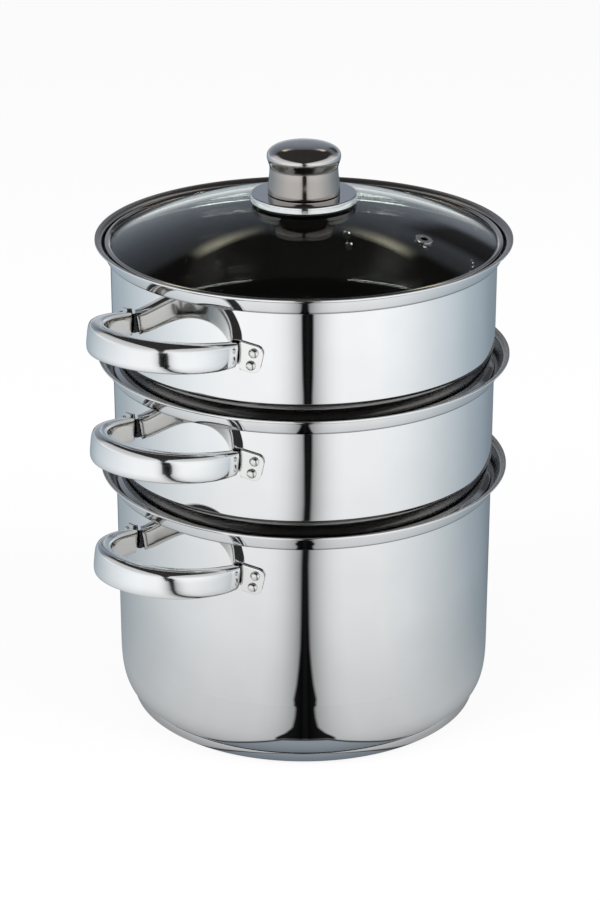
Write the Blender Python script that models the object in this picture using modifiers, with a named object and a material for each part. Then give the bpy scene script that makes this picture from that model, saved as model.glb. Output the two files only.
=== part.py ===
"""Three-tier steamer pot: a pot, two stacking steamer inserts and a domed glass lid.

The base stands on z = 0 and every turned piece shares the Z axis.
The two loop handles of each tier lie on the X axis.
"""
import math

import bmesh
import bpy
from mathutils import Matrix, Vector

for leftover in list(bpy.data.objects):
    bpy.data.objects.remove(leftover, do_unlink=True)

# Sheet, clearances and cuts used by every piece
SHEET = 0.0008
GAP = 0.0003
CUT_OVERRUN = 0.003
MERGE_DISTANCE = 0.00001

# Facets round the turned pieces and the small round ones
WALL_STEPS = 36
KNOB_STEPS = 20
RIVET_STEPS = 8

# Walls and stacking heights
WALL_RADIUS = 0.100
POT_STEP_HEIGHT = 0.125
TIER_PITCH = 0.0621

# Flared rim shared by the three tiers
RIM_LEDGE_WIDTH = 0.0022
RIM_BAND_FLARE = 0.0026
RIM_BAND_HEIGHT = 0.0060
LIP_REACH = 0.0030
LIP_RISE = 0.0019
LIP_SEGMENTS = 2

# Pot bottom and its heat-spreading base
POT_CORNER_TOP = 0.035
POT_CORNER_WIDTH = 0.013
POT_CORNER_POWER = 3.3
POT_CORNER_SEGMENTS = 4
CAPSULE_INSET = 0.0067
CAPSULE_SHEET = 0.0006
CAPSULE_EDGE = 0.0012
CORE_THICKNESS = 0.0036

# Stepped bottom of a steamer insert
CREASE_ABOVE_LIP = 0.0062
WAIST_DEPTH = 0.0007
WAIST_DROP = 0.0012
SHOULDER_HEIGHT = 0.0012
SKIRT_CLEARANCE = 0.0009
SKIRT_DEPTH = 0.0100
INSERT_CORNER = 0.0040
INSERT_CORNER_SEGMENTS = 2
FLOOR_HOLE_RADIUS = 0.0040
FLOOR_HOLE_PITCH = 0.0200
FLOOR_HOLE_RINGS = 3
FLOOR_HOLE_SIDES = 6

# Height of each tier's rivet pairs below its rim step
POT_HANDLE_DROP = 0.0190
LOWER_HANDLE_DROP = 0.0190
UPPER_HANDLE_DROP = 0.0243

# Loop handle of flattened steel tube
LOOP_HALF_WIDTH = 0.0350
LOOP_PROJECTION = 0.0412
LOOP_STRAIGHT = 0.0030
LOOP_POWER = 2.14
LOOP_TILT = math.radians(9)
LOOP_STATIONS = 11
TUBE_HALF_HEIGHT = 0.0079
TUBE_HALF_THICKNESS = 0.0045
TUBE_END_SCALE = 0.81
TUBE_SWELL_POWER = 0.7
TUBE_POWER = 2.6
TUBE_SIDES = 12
TUBE_WALL = 0.0009

# Riveted bracket at each end of a loop
PLATE_THICKNESS = 0.0012
PLATE_HALF_HEIGHT = 0.0071
PLATE_CORNER = 0.0040
PLATE_SLOPE = math.radians(12.5)
PLATE_MARGIN = 0.0048
BEND_RADIUS = 0.0010
TONGUE_DEPTH = 0.0085
ARC_SEGMENTS = 2

# Rivets
RIVET_OFFSET = 0.0076
RIVET_PITCH = 0.0066
SHANK_RADIUS = 0.0015
HOLE_CLEARANCE = 0.0003
HEAD_RADIUS = 0.0025
HEAD_HEIGHT = 0.0015
HEAD_SHOULDER = math.radians(45)
TAIL_RADIUS = 0.0024
TAIL_HEIGHT = 0.0008

# Domed glass lid and its steel band
GLASS_THICKNESS = 0.0035
GLASS_EDGE_CLEARANCE = 0.0014
GLASS_INNER_SEGMENTS = 3
GLASS_OUTER_SEGMENTS = 2
DOME_RISE = 0.0222
KNOB_HOLE_RADIUS = 0.0040
BAND_SHEET = 0.0007
BAND_LIP_WIDTH = 0.0024
BAND_LEAN = 0.0020
BAND_SEAT_CLEARANCE = 0.0004
BAND_CLEARANCE = 0.0008
BAND_SKIRT_DEPTH = 0.0075

# Steam vent eyelet
VENT_FROM_EDGE = 0.0304
VENT_AZIMUTH = math.radians(-82)
VENT_FLANGE_RADIUS = 0.0044
VENT_SLEEVE_RADIUS = 0.0030
VENT_BORE_RADIUS = 0.0020
VENT_FLANGE_THICKNESS = 0.0007
VENT_STEPS = 12

# Knob on the lid
GASKET_RADIUS = 0.0262
GASKET_CROWN = 0.0008
FLANGE_RADIUS = 0.0275
FLANGE_THICKNESS = 0.0024
FLANGE_ROUND = 0.0009
COLLAR_RADIUS = 0.0167
COLLAR_HEIGHT = 0.0022
SHELL_SHEET = 0.0008
SHELL_WAIST_RADIUS = 0.0176
SHELL_WAIST_HEIGHT = 0.0130
SHELL_FOOT_FLARE = 0.0011
SHELL_BULGE = 0.0014
SHELL_BULGE_HEIGHT = 0.0190
SHELL_HEIGHT = 0.0259
SHELL_CROWN_POWER = 2.4
SHELL_SEGMENTS = 3
CORE_HEIGHT = 0.0150
SCREW_SHANK_RADIUS = 0.0025
SCREW_REACH = 0.0100
SCREW_HEAD_RADIUS = 0.0052
SCREW_HEAD_HEIGHT = 0.0024
SCREW_HEAD_ROUND = 0.0008
WASHER_RADIUS = 0.0085
WASHER_THICKNESS = 0.0008
SEAL_RADIUS = 0.0078
SEAL_THICKNESS = 0.0010

# Levels and radii that follow from the sizes above
RIM_HEIGHT = RIM_BAND_HEIGHT + LIP_RISE + SHEET
SEAT_ABOVE_STEP = SHEET + GAP
INSERT_STEP_HEIGHT = TIER_PITCH - SEAT_ABOVE_STEP
LOWER_SEAT = POT_STEP_HEIGHT + SEAT_ABOVE_STEP
UPPER_SEAT = LOWER_SEAT + TIER_PITCH
LID_SEAT = UPPER_SEAT + TIER_PITCH
BORE_RADIUS = WALL_RADIUS - SHEET
SKIRT_RADIUS = BORE_RADIUS - SKIRT_CLEARANCE
BORE_FLAT_RADIUS = BORE_RADIUS * math.cos(math.pi / WALL_STEPS)
POT_FLOOR_RADIUS = WALL_RADIUS - POT_CORNER_WIDTH
CAPSULE_RADIUS = WALL_RADIUS - CAPSULE_INSET
CORE_TOP = CAPSULE_SHEET + GAP + CORE_THICKNESS
POT_FLOOR = CORE_TOP + GAP
PLATE_INNER_RADIUS = WALL_RADIUS + GAP
PLATE_OUTER_RADIUS = PLATE_INNER_RADIUS + PLATE_THICKNESS
RIVET_ANGLE = math.asin((LOOP_HALF_WIDTH + RIVET_OFFSET) / WALL_RADIUS)
TUBE_TOP_SHARE = math.cos(math.pi / TUBE_SIDES) ** (2 / TUBE_POWER)
TUBE_END_HALF_HEIGHT = TUBE_HALF_HEIGHT * TUBE_END_SCALE * TUBE_TOP_SHARE
TONGUE_INSIDE = LOOP_HALF_WIDTH - PLATE_THICKNESS / 2
TONGUE_OUTSIDE = LOOP_HALF_WIDTH + PLATE_THICKNESS / 2
TONGUE_SKEW = PLATE_THICKNESS / 2 * math.tan(LOOP_TILT) / math.tan(RIVET_ANGLE)
TONGUE_HALF_HEIGHT = TUBE_END_HALF_HEIGHT - TUBE_WALL - GAP - TONGUE_SKEW
PLATE_AT_TONGUE = math.sqrt(PLATE_OUTER_RADIUS ** 2 - TONGUE_INSIDE ** 2)
LOOP_ROOT = PLATE_AT_TONGUE + math.sin(LOOP_TILT) * TUBE_END_HALF_HEIGHT + GAP
BAND_SEAT_RADIUS = WALL_RADIUS + RIM_LEDGE_WIDTH - SHEET - BAND_SEAT_CLEARANCE
BAND_TOP_RADIUS = BAND_SEAT_RADIUS + BAND_LEAN
GLASS_RADIUS = BAND_TOP_RADIUS - BAND_SHEET - GLASS_EDGE_CLEARANCE
VENT_DISTANCE = GLASS_RADIUS - VENT_FROM_EDGE
SHELL_BASE_RADIUS = SHELL_WAIST_RADIUS + SHELL_FOOT_FLARE
SHELL_BULGE_RADIUS = SHELL_WAIST_RADIUS + SHELL_BULGE

parts = bpy.data.collections.new("three_tier_steamer_pot")
cutters = bpy.data.collections.new("steamer_pot_cutters")
bpy.context.scene.collection.children.link(parts)
bpy.context.scene.collection.children.link(cutters)


def finish(name, colour, roughness, metallic):
    """Return a Principled material with one colour."""
    material = bpy.data.materials.new(name)
    material.use_nodes = True
    shader = material.node_tree.nodes["Principled BSDF"]
    shader.inputs["Base Color"].default_value = (*colour, 1)
    shader.inputs["Roughness"].default_value = roughness
    shader.inputs["Metallic"].default_value = metallic
    return material


mirror_steel = finish("mirror_steel", (0.78, 0.79, 0.81), 0.08, 1.0)
handle_steel = finish("handle_steel", (0.74, 0.75, 0.77), 0.12, 1.0)
bracket_steel = finish("bracket_steel", (0.70, 0.70, 0.70), 0.22, 1.0)
rivet_steel = finish("rivet_steel", (0.66, 0.65, 0.63), 0.25, 1.0)
base_steel = finish("base_steel", (0.62, 0.63, 0.66), 0.20, 1.0)
core_aluminium = finish("core_aluminium", (0.80, 0.80, 0.79), 0.35, 1.0)
lid_glass_finish = finish("lid_glass", (0.55, 0.62, 0.60), 0.02, 0.0)
black_silicone = finish("black_silicone", (0.02, 0.02, 0.02), 0.55, 0.0)
black_plastic = finish("black_plastic", (0.03, 0.03, 0.03), 0.40, 0.0)
screw_steel = finish("screw_steel", (0.60, 0.60, 0.60), 0.30, 1.0)


def place(item, parent=None, matrix=None, collection=parts):
    """Link an object, parent it and set where it stands under its parent."""
    collection.objects.link(item)
    item.parent = parent
    if matrix is not None:
        item.matrix_local = matrix
    return item


def station(name, parent, matrix):
    """Add an empty that carries the pieces of one tier or one handle."""
    return place(bpy.data.objects.new(name, None), parent, matrix)


def turned(name, profile, material, steps, wall=0.0, closed=False):
    """Turn a profile of (radius, height) points into a solid or a thin shell."""
    mesh = bpy.data.meshes.new(name)
    edges = [(i, i + 1) for i in range(len(profile) - 1)]
    if closed:
        edges.append((len(profile) - 1, 0))
    mesh.from_pydata([(radius, 0, height) for radius, height in profile], edges, [])
    mesh.materials.append(material)
    item = bpy.data.objects.new(name, mesh)
    screw = item.modifiers.new("Turn", "SCREW")
    screw.steps = steps
    screw.render_steps = steps
    screw.use_merge_vertices = True
    screw.merge_threshold = MERGE_DISTANCE
    if wall > 0:
        shell = item.modifiers.new("Sheet", "SOLIDIFY")
        shell.thickness = wall
        shell.offset = -1
        shell.use_even_offset = True
    return item


def cut(item, cutter, name):
    """Cut one closed shape out of a piece."""
    boolean = item.modifiers.new(name, "BOOLEAN")
    boolean.operation = "DIFFERENCE"
    boolean.solver = "EXACT"
    boolean.object = cutter


def cutter_object(name, mesh, parent=None, matrix=None):
    """Keep a cutting shape out of sight in its own collection."""
    item = place(bpy.data.objects.new(name, mesh), parent, matrix, cutters)
    item.hide_render = True
    item.display_type = "WIRE"
    return item


def pegs_mesh(name, matrices, radius, low, high, sides):
    """Make one mesh of separate straight pegs, each along its matrix's Z axis."""
    bm = bmesh.new()
    for matrix in matrices:
        middle = matrix @ Matrix.Translation((0, 0, (low + high) / 2))
        bmesh.ops.create_cone(bm, cap_ends=True, segments=sides, radius1=radius,
                              radius2=radius, depth=high - low, matrix=middle)
    mesh = bpy.data.meshes.new(name)
    bm.to_mesh(mesh)
    bm.free()
    return mesh


def baked(item):
    """Return an object's evaluated mesh with its seams welded, and remove the object."""
    bpy.context.view_layer.update()
    graph = bpy.context.evaluated_depsgraph_get()
    mesh = bpy.data.meshes.new_from_object(item.evaluated_get(graph))
    bm = bmesh.new()
    bm.from_mesh(mesh)
    bmesh.ops.remove_doubles(bm, verts=bm.verts, dist=MERGE_DISTANCE)
    bm.to_mesh(mesh)
    bm.free()
    bpy.data.objects.remove(item, do_unlink=True)
    return mesh


def rim_profile(step):
    """Outer side of the flared rim, from the lip down to the step on the wall."""
    band_foot = WALL_RADIUS + RIM_LEDGE_WIDTH
    band_top = band_foot + RIM_BAND_FLARE
    points = []
    for i in range(LIP_SEGMENTS, -1, -1):
        angle = math.pi / 2 * i / LIP_SEGMENTS
        radius = band_top + LIP_REACH * (1 - math.cos(angle))
        points.append((radius, step + RIM_BAND_HEIGHT + LIP_RISE * math.sin(angle)))
    points.append((band_foot, step))
    points.append((WALL_RADIUS, step))
    return points


def corner_height(radius):
    """Height of the pot's rounded bottom corner at one radius."""
    share = (radius - POT_FLOOR_RADIUS) / (WALL_RADIUS - POT_FLOOR_RADIUS)
    sweep = (1 - share ** POT_CORNER_POWER) ** (1 / POT_CORNER_POWER)
    return POT_CORNER_TOP - (POT_CORNER_TOP - POT_FLOOR) * sweep


def pot_profile():
    """Outer side of the pot, from its lip to the middle of its floor."""
    points = rim_profile(POT_STEP_HEIGHT)
    for i in range(POT_CORNER_SEGMENTS + 1):
        angle = math.pi / 2 * i / POT_CORNER_SEGMENTS
        across = math.cos(angle) ** (2 / POT_CORNER_POWER) if i < POT_CORNER_SEGMENTS else 0
        down = math.sin(angle) ** (2 / POT_CORNER_POWER)
        radius = POT_FLOOR_RADIUS + (WALL_RADIUS - POT_FLOOR_RADIUS) * across
        points.append((radius, POT_CORNER_TOP - (POT_CORNER_TOP - POT_FLOOR) * down))
    points.append((0, POT_FLOOR))
    return points


def insert_profile():
    """Outer side of a steamer insert, with z = 0 on the shoulder that it rests on."""
    crease = RIM_HEIGHT - SEAT_ABOVE_STEP + CREASE_ABOVE_LIP
    waist = WALL_RADIUS - WAIST_DEPTH
    points = rim_profile(INSERT_STEP_HEIGHT)
    points.append((WALL_RADIUS, crease))
    points.append((waist, crease - WAIST_DROP))
    points.append((waist, SHOULDER_HEIGHT + WAIST_DROP))
    points.append((WALL_RADIUS, SHOULDER_HEIGHT))
    points.append((WALL_RADIUS, 0))
    points.append((SKIRT_RADIUS, 0))
    for i in range(INSERT_CORNER_SEGMENTS + 1):
        angle = math.pi / 2 * i / INSERT_CORNER_SEGMENTS
        radius = SKIRT_RADIUS - INSERT_CORNER * (1 - math.cos(angle))
        points.append((radius, -SKIRT_DEPTH + INSERT_CORNER * (1 - math.sin(angle))))
    points.append((0, -SKIRT_DEPTH))
    return points


def floor_hole_places():
    """Places of the steam holes: one in the middle and rings of six, twelve and so on."""
    places = [Matrix.Identity(4)]
    for ring in range(1, FLOOR_HOLE_RINGS + 1):
        count = 6 * ring
        for i in range(count):
            turn = Matrix.Rotation(2 * math.pi * i / count, 4, "Z")
            places.append(turn @ Matrix.Translation((FLOOR_HOLE_PITCH * ring, 0, 0)))
    return places


def tube_section():
    """Flattened oval section of the handle tube, as a closed guide curve."""
    curve = bpy.data.curves.new("tube_section", "CURVE")
    curve.dimensions = "2D"
    spline = curve.splines.new("POLY")
    spline.points.add(TUBE_SIDES - 1)
    spline.use_cyclic_u = True
    for i, point in enumerate(spline.points):
        angle = 2 * math.pi * (i + 0.5) / TUBE_SIDES
        across = math.copysign(abs(math.cos(angle)) ** (2 / TUBE_POWER), math.cos(angle))
        up = math.copysign(abs(math.sin(angle)) ** (2 / TUBE_POWER), math.sin(angle))
        point.co = (TUBE_HALF_THICKNESS * across, TUBE_HALF_HEIGHT * up, 0, 1)
    return cutter_object("tube_section", curve)


def loop_mesh():
    """Hollow D-shaped tube in the XY plane, with its open ends towards the wall at y = 0."""
    path = bpy.data.curves.new("loop_path", "CURVE")
    path.dimensions = "3D"
    path.twist_mode = "Z_UP"
    path.bevel_mode = "OBJECT"
    path.bevel_object = tube_section()
    path.use_fill_caps = False
    spline = path.splines.new("POLY")
    spline.points.add(LOOP_STATIONS + 1)
    reach = WALL_RADIUS + LOOP_PROJECTION - LOOP_ROOT - LOOP_STRAIGHT
    last = LOOP_STATIONS - 1
    bow = []
    for i in range(LOOP_STATIONS):
        angle = math.pi * i / last
        out = max(math.sin(angle), 0) ** (2 / LOOP_POWER) if 0 < i < last else 0
        side = math.copysign(abs(math.cos(angle)) ** (2 / LOOP_POWER), math.cos(angle))
        bow.append((LOOP_STRAIGHT + reach * out, LOOP_HALF_WIDTH * side, out))
    bow.insert(0, (0, LOOP_HALF_WIDTH, 0))
    bow.append((0, -LOOP_HALF_WIDTH, 0))
    for point, (x, y, share) in zip(spline.points, bow):
        point.co = (x, y, 0, 1)
        point.radius = TUBE_END_SCALE + (1 - TUBE_END_SCALE) * share ** TUBE_SWELL_POWER
    tube = place(bpy.data.objects.new("loop_path", path))
    mesh = baked(tube)
    mesh.materials.clear()
    mesh.materials.append(handle_steel)
    mesh.shade_smooth()
    return mesh


def along_wall(angle, radius):
    """Point of the handle's plan at one angle from the handle and one radius."""
    return radius * math.cos(angle), radius * math.sin(angle)


def plan_outline():
    """Plan of a bracket: a tongue that leaves the tube and bends flat on the wall."""
    end = RIVET_ANGLE + PLATE_MARGIN / WALL_RADIUS
    tip = LOOP_ROOT + TONGUE_DEPTH
    heel = BEND_RADIUS + PLATE_THICKNESS
    heel_x = math.sqrt(PLATE_INNER_RADIUS ** 2 - TONGUE_INSIDE ** 2) + heel / 2
    toe_x = math.sqrt(PLATE_OUTER_RADIUS ** 2 - TONGUE_OUTSIDE ** 2) + BEND_RADIUS
    heel_angle = math.asin((TONGUE_INSIDE + heel / 2) / PLATE_INNER_RADIUS)
    toe_angle = math.asin((TONGUE_OUTSIDE + BEND_RADIUS) / PLATE_OUTER_RADIUS)
    points = [(tip, TONGUE_INSIDE), (heel_x, TONGUE_INSIDE)]
    for i in range(ARC_SEGMENTS + 1):
        angle = heel_angle + (end - heel_angle) * i / ARC_SEGMENTS
        points.append(along_wall(angle, PLATE_INNER_RADIUS))
    for i in range(ARC_SEGMENTS + 1):
        angle = end + (toe_angle - end) * i / ARC_SEGMENTS
        points.append(along_wall(angle, PLATE_OUTER_RADIUS))
    points += [(toe_x, TONGUE_OUTSIDE), (tip, TONGUE_OUTSIDE)]
    return points


def across_plate(x, y):
    """Distance along the flat of the plate, counted outwards from the rivets."""
    return y * math.cos(RIVET_ANGLE) - x * math.sin(RIVET_ANGLE)


def plate_edge(along, half_height):
    """Height of the sloping plate's edge at one distance along it."""
    return (half_height - along * math.sin(PLATE_SLOPE)) / math.cos(PLATE_SLOPE)


STEP_ALONG = across_plate(PLATE_AT_TONGUE, TONGUE_OUTSIDE)
STEP_X = (LOOP_HALF_WIDTH * math.cos(RIVET_ANGLE) - STEP_ALONG) / math.sin(RIVET_ANGLE)
TIP_X = LOOP_ROOT + TONGUE_DEPTH + CUT_OVERRUN
TIP_ALONG = across_plate(TIP_X, LOOP_HALF_WIDTH)
LOOP_ROOT_HEIGHT = plate_edge(STEP_ALONG, 0)


def tongue_height(x):
    """Height of the tongue's middle line, which rises with the tilt of the loop."""
    return LOOP_ROOT_HEIGHT + (x - LOOP_ROOT) * math.tan(LOOP_TILT)


def face_outline():
    """Face of a bracket seen along its rivets: a tongue and a rounded sloping plate."""
    tongue = TONGUE_HALF_HEIGHT / math.cos(LOOP_TILT)
    points = [(TIP_ALONG, tongue_height(TIP_X) - tongue),
              (STEP_ALONG, tongue_height(STEP_X) - tongue),
              (STEP_ALONG, plate_edge(STEP_ALONG, -PLATE_HALF_HEIGHT))]
    centre = PLATE_MARGIN - PLATE_CORNER
    for sign in (-1, 1):
        for i in range(ARC_SEGMENTS + 1):
            turn = math.pi / 2 * i / ARC_SEGMENTS
            spread = math.cos(turn) if sign < 0 else math.sin(turn)
            along = math.sin(turn) if sign < 0 else math.cos(turn)
            a = centre + PLATE_CORNER * along
            b = sign * (PLATE_HALF_HEIGHT - PLATE_CORNER + PLATE_CORNER * spread)
            points.append((a * math.cos(PLATE_SLOPE) + b * math.sin(PLATE_SLOPE),
                           b * math.cos(PLATE_SLOPE) - a * math.sin(PLATE_SLOPE)))
    points += [(STEP_ALONG, plate_edge(STEP_ALONG, PLATE_HALF_HEIGHT)),
               (STEP_ALONG, tongue_height(STEP_X) + tongue),
               (TIP_ALONG, tongue_height(TIP_X) + tongue)]
    return points


def outline_object(name, points, half_depth, matrix):
    """Extrude a flat outline into a closed mesh object."""
    curve = bpy.data.curves.new(name, "CURVE")
    curve.dimensions = "2D"
    curve.fill_mode = "BOTH"
    curve.extrude = half_depth
    spline = curve.splines.new("POLY")
    spline.points.add(len(points) - 1)
    spline.use_cyclic_u = True
    for point, (x, y) in zip(spline.points, points):
        point.co = (x, y, 0, 1)
    flat = place(bpy.data.objects.new(name, curve))
    mesh = baked(flat)
    bm = bmesh.new()
    bm.from_mesh(mesh)
    bmesh.ops.recalc_face_normals(bm, faces=bm.faces)
    bm.to_mesh(mesh)
    bm.free()
    return place(bpy.data.objects.new(name, mesh), None, matrix)


def rivet_frame(side):
    """Frame with its Z axis along the rivets of the bracket on one side of a handle."""
    angle = side * RIVET_ANGLE
    normal = Vector((math.cos(angle), math.sin(angle), 0))
    tangent = Vector((-math.sin(angle), math.cos(angle), 0))
    frame = Matrix((tangent, Vector((0, 0, 1)), normal)).transposed().to_4x4()
    frame.translation = normal * PLATE_OUTER_RADIUS
    return frame


def rivet_places(side):
    """Frames of the lower and the upper rivet of one bracket."""
    places = []
    for sign in (-1, 1):
        offset = sign * RIVET_PITCH / 2
        along = side * offset * math.sin(PLATE_SLOPE)
        up = offset * math.cos(PLATE_SLOPE)
        places.append(rivet_frame(side) @ Matrix.Translation((along, up, 0)))
    return places


def bracket_mesh(side):
    """Bracket on one side of a handle, cut from its plan and its face."""
    plan = [(x, side * y) for x, y in plan_outline()]
    face = [(side * along, up) for along, up in face_outline()]
    tall = PLATE_HALF_HEIGHT * 2
    deep = TONGUE_DEPTH + CUT_OVERRUN + PLATE_THICKNESS
    item = outline_object("bracket_plan", plan, tall, Matrix.Identity(4))
    shape = outline_object("bracket_face", face, deep, rivet_frame(side))
    meet = item.modifiers.new("Face", "BOOLEAN")
    meet.operation = "INTERSECT"
    meet.solver = "EXACT"
    meet.object = shape
    mesh = pegs_mesh("bracket_pegs", rivet_places(side), SHANK_RADIUS + HOLE_CLEARANCE,
                     -PLATE_THICKNESS - CUT_OVERRUN, CUT_OVERRUN, RIVET_STEPS)
    pegs = place(bpy.data.objects.new("bracket_pegs", mesh))
    cut(item, pegs, "Rivet holes")
    result = baked(item)
    bpy.data.objects.remove(shape, do_unlink=True)
    bpy.data.objects.remove(pegs, do_unlink=True)
    result.materials.clear()
    result.materials.append(bracket_steel)
    return result


def rivet_mesh():
    """Rivet along Z: domed head over the plate, shank, and flat tail inside the wall."""
    tail = BORE_FLAT_RADIUS - GAP - PLATE_OUTER_RADIUS
    profile = [(0, GAP + HEAD_HEIGHT),
               (HEAD_RADIUS * math.cos(HEAD_SHOULDER), GAP + HEAD_HEIGHT * math.sin(HEAD_SHOULDER)),
               (HEAD_RADIUS, GAP),
               (SHANK_RADIUS, GAP),
               (SHANK_RADIUS, tail),
               (TAIL_RADIUS, tail),
               (TAIL_RADIUS, tail - TAIL_HEIGHT),
               (0, tail - TAIL_HEIGHT)]
    mesh = baked(place(turned("rivet", profile, rivet_steel, RIVET_STEPS)))
    mesh.shade_smooth()
    mesh.set_sharp_from_angle(angle=math.radians(50))
    return mesh


handle_loop = loop_mesh()
handle_rivet = rivet_mesh()
handle_brackets = {"front": bracket_mesh(-1), "back": bracket_mesh(1)}
HANDLE_TURNS = {"right": 0, "left": math.pi}
BRACKET_SIDES = {"front": -1, "back": 1}


def add_handles(tier, carrier, rivet_height):
    """Add a tier's two loop handles and return the cutter of their rivet holes."""
    holes = []
    for hand, turn in HANDLE_TURNS.items():
        stand = Matrix.Translation((0, 0, rivet_height)) @ Matrix.Rotation(turn, 4, "Z")
        holder = station(f"{tier}_{hand}_handle_place", carrier, stand)
        tilt = Matrix.Translation((LOOP_ROOT, 0, LOOP_ROOT_HEIGHT))
        tilt = tilt @ Matrix.Rotation(-LOOP_TILT, 4, "Y")
        loop = place(bpy.data.objects.new(f"{tier}_{hand}_handle_loop", handle_loop), holder, tilt)
        tube = loop.modifiers.new("Tube wall", "SOLIDIFY")
        tube.thickness = TUBE_WALL
        tube.offset = -1
        tube.use_even_offset = True
        for end, side in BRACKET_SIDES.items():
            facing = side if hand == "right" else -side
            mesh = handle_brackets["back" if facing > 0 else "front"]
            name = f"{tier}_{hand}_bracket_{end}"
            place(bpy.data.objects.new(name, mesh), holder, Matrix.Identity(4))
            for level, spot in zip(("lower", "upper"), rivet_places(facing)):
                name = f"{tier}_{hand}_rivet_{end}_{level}"
                place(bpy.data.objects.new(name, handle_rivet), holder, spot)
                holes.append(stand @ spot)
    low = BORE_FLAT_RADIUS - PLATE_OUTER_RADIUS - CUT_OVERRUN
    mesh = pegs_mesh(f"{tier}_rivet_holes", holes, SHANK_RADIUS + HOLE_CLEARANCE,
                     low, CUT_OVERRUN, RIVET_STEPS)
    return cutter_object(f"{tier}_rivet_holes", mesh, carrier, Matrix.Identity(4))


# Pot with its encapsulated base
pot = station("pot_place", None, Matrix.Identity(4))
pot_body = place(turned("pot_body", pot_profile(), mirror_steel, WALL_STEPS, SHEET), pot)
cut(pot_body, add_handles("pot", pot, POT_STEP_HEIGHT - POT_HANDLE_DROP), "Rivet holes")

core_radius = CAPSULE_RADIUS - CAPSULE_SHEET - GAP
core_profile = [(0, CORE_TOP), (core_radius, CORE_TOP),
                (core_radius, CORE_TOP - CORE_THICKNESS + CAPSULE_EDGE),
                (core_radius - CAPSULE_EDGE, CORE_TOP - CORE_THICKNESS),
                (0, CORE_TOP - CORE_THICKNESS)]
place(turned("base_core", core_profile, core_aluminium, WALL_STEPS), pot)

capsule_top = corner_height(CAPSULE_RADIUS - CAPSULE_SHEET) - GAP
capsule_profile = [(CAPSULE_RADIUS, capsule_top), (CAPSULE_RADIUS, CAPSULE_EDGE),
                   (CAPSULE_RADIUS - CAPSULE_EDGE, 0), (0, 0)]
place(turned("base_capsule", capsule_profile, base_steel, WALL_STEPS, CAPSULE_SHEET), pot)

# Two steamer inserts with perforated floors, each seated in the rim below it
inserts = (("lower_steamer", LOWER_SEAT, LOWER_HANDLE_DROP),
           ("upper_steamer", UPPER_SEAT, UPPER_HANDLE_DROP))
for tier, seat, drop in inserts:
    carrier = station(f"{tier}_place", None, Matrix.Translation((0, 0, seat)))
    body = turned(f"{tier}_body", insert_profile(), mirror_steel, WALL_STEPS, SHEET)
    place(body, carrier)
    mesh = pegs_mesh(f"{tier}_floor_holes", floor_hole_places(), FLOOR_HOLE_RADIUS,
                     -SKIRT_DEPTH - CUT_OVERRUN, -SKIRT_DEPTH + CUT_OVERRUN, FLOOR_HOLE_SIDES)
    cut(body, cutter_object(f"{tier}_floor_holes", mesh, carrier, Matrix.Identity(4)), "Steam holes")
    cut(body, add_handles(tier, carrier, INSERT_STEP_HEIGHT - drop), "Rivet holes")

# Domed glass of the lid, with z = 0 on the seat of its steel band
lid = station("lid_place", None, Matrix.Translation((0, 0, LID_SEAT)))
DOME_RADIUS = (GLASS_RADIUS ** 2 + DOME_RISE ** 2) / (2 * DOME_RISE)
EDGE_ANGLE = math.asin(GLASS_RADIUS / DOME_RADIUS)
EDGE_HEIGHT = BAND_SHEET + GAP + GLASS_THICKNESS * math.cos(EDGE_ANGLE)
APEX_HEIGHT = EDGE_HEIGHT + DOME_RISE


def dome_height(radius):
    """Height of the outer side of the glass at one radius."""
    return APEX_HEIGHT - DOME_RADIUS + math.sqrt(DOME_RADIUS ** 2 - radius ** 2)


glass_profile = [(KNOB_HOLE_RADIUS, dome_height(KNOB_HOLE_RADIUS))]
glass_stretches = ((KNOB_HOLE_RADIUS, VENT_DISTANCE, GLASS_INNER_SEGMENTS),
                   (VENT_DISTANCE, GLASS_RADIUS, GLASS_OUTER_SEGMENTS))
for start, end, segments in glass_stretches:
    for i in range(1, segments + 1):
        radius = start + (end - start) * i / segments
        glass_profile.append((radius, dome_height(radius)))
glass = turned("lid_glass", glass_profile, lid_glass_finish, WALL_STEPS, GLASS_THICKNESS)
place(glass, lid)

# Steel band folded round the edge of the glass, with a skirt that centres the lid
lip_inner = BAND_TOP_RADIUS - BAND_SHEET - BAND_LIP_WIDTH
band_top = dome_height(lip_inner) + GAP + BAND_SHEET
skirt_radius = BORE_RADIUS - BAND_CLEARANCE
band_profile = [(lip_inner, band_top),
                (BAND_TOP_RADIUS - BAND_SHEET, band_top),
                (BAND_TOP_RADIUS, band_top - BAND_SHEET),
                (BAND_SEAT_RADIUS, 0),
                (skirt_radius, 0),
                (skirt_radius, -BAND_SKIRT_DEPTH)]
place(turned("lid_rim_band", band_profile, mirror_steel, WALL_STEPS, BAND_SHEET), lid)

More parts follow.
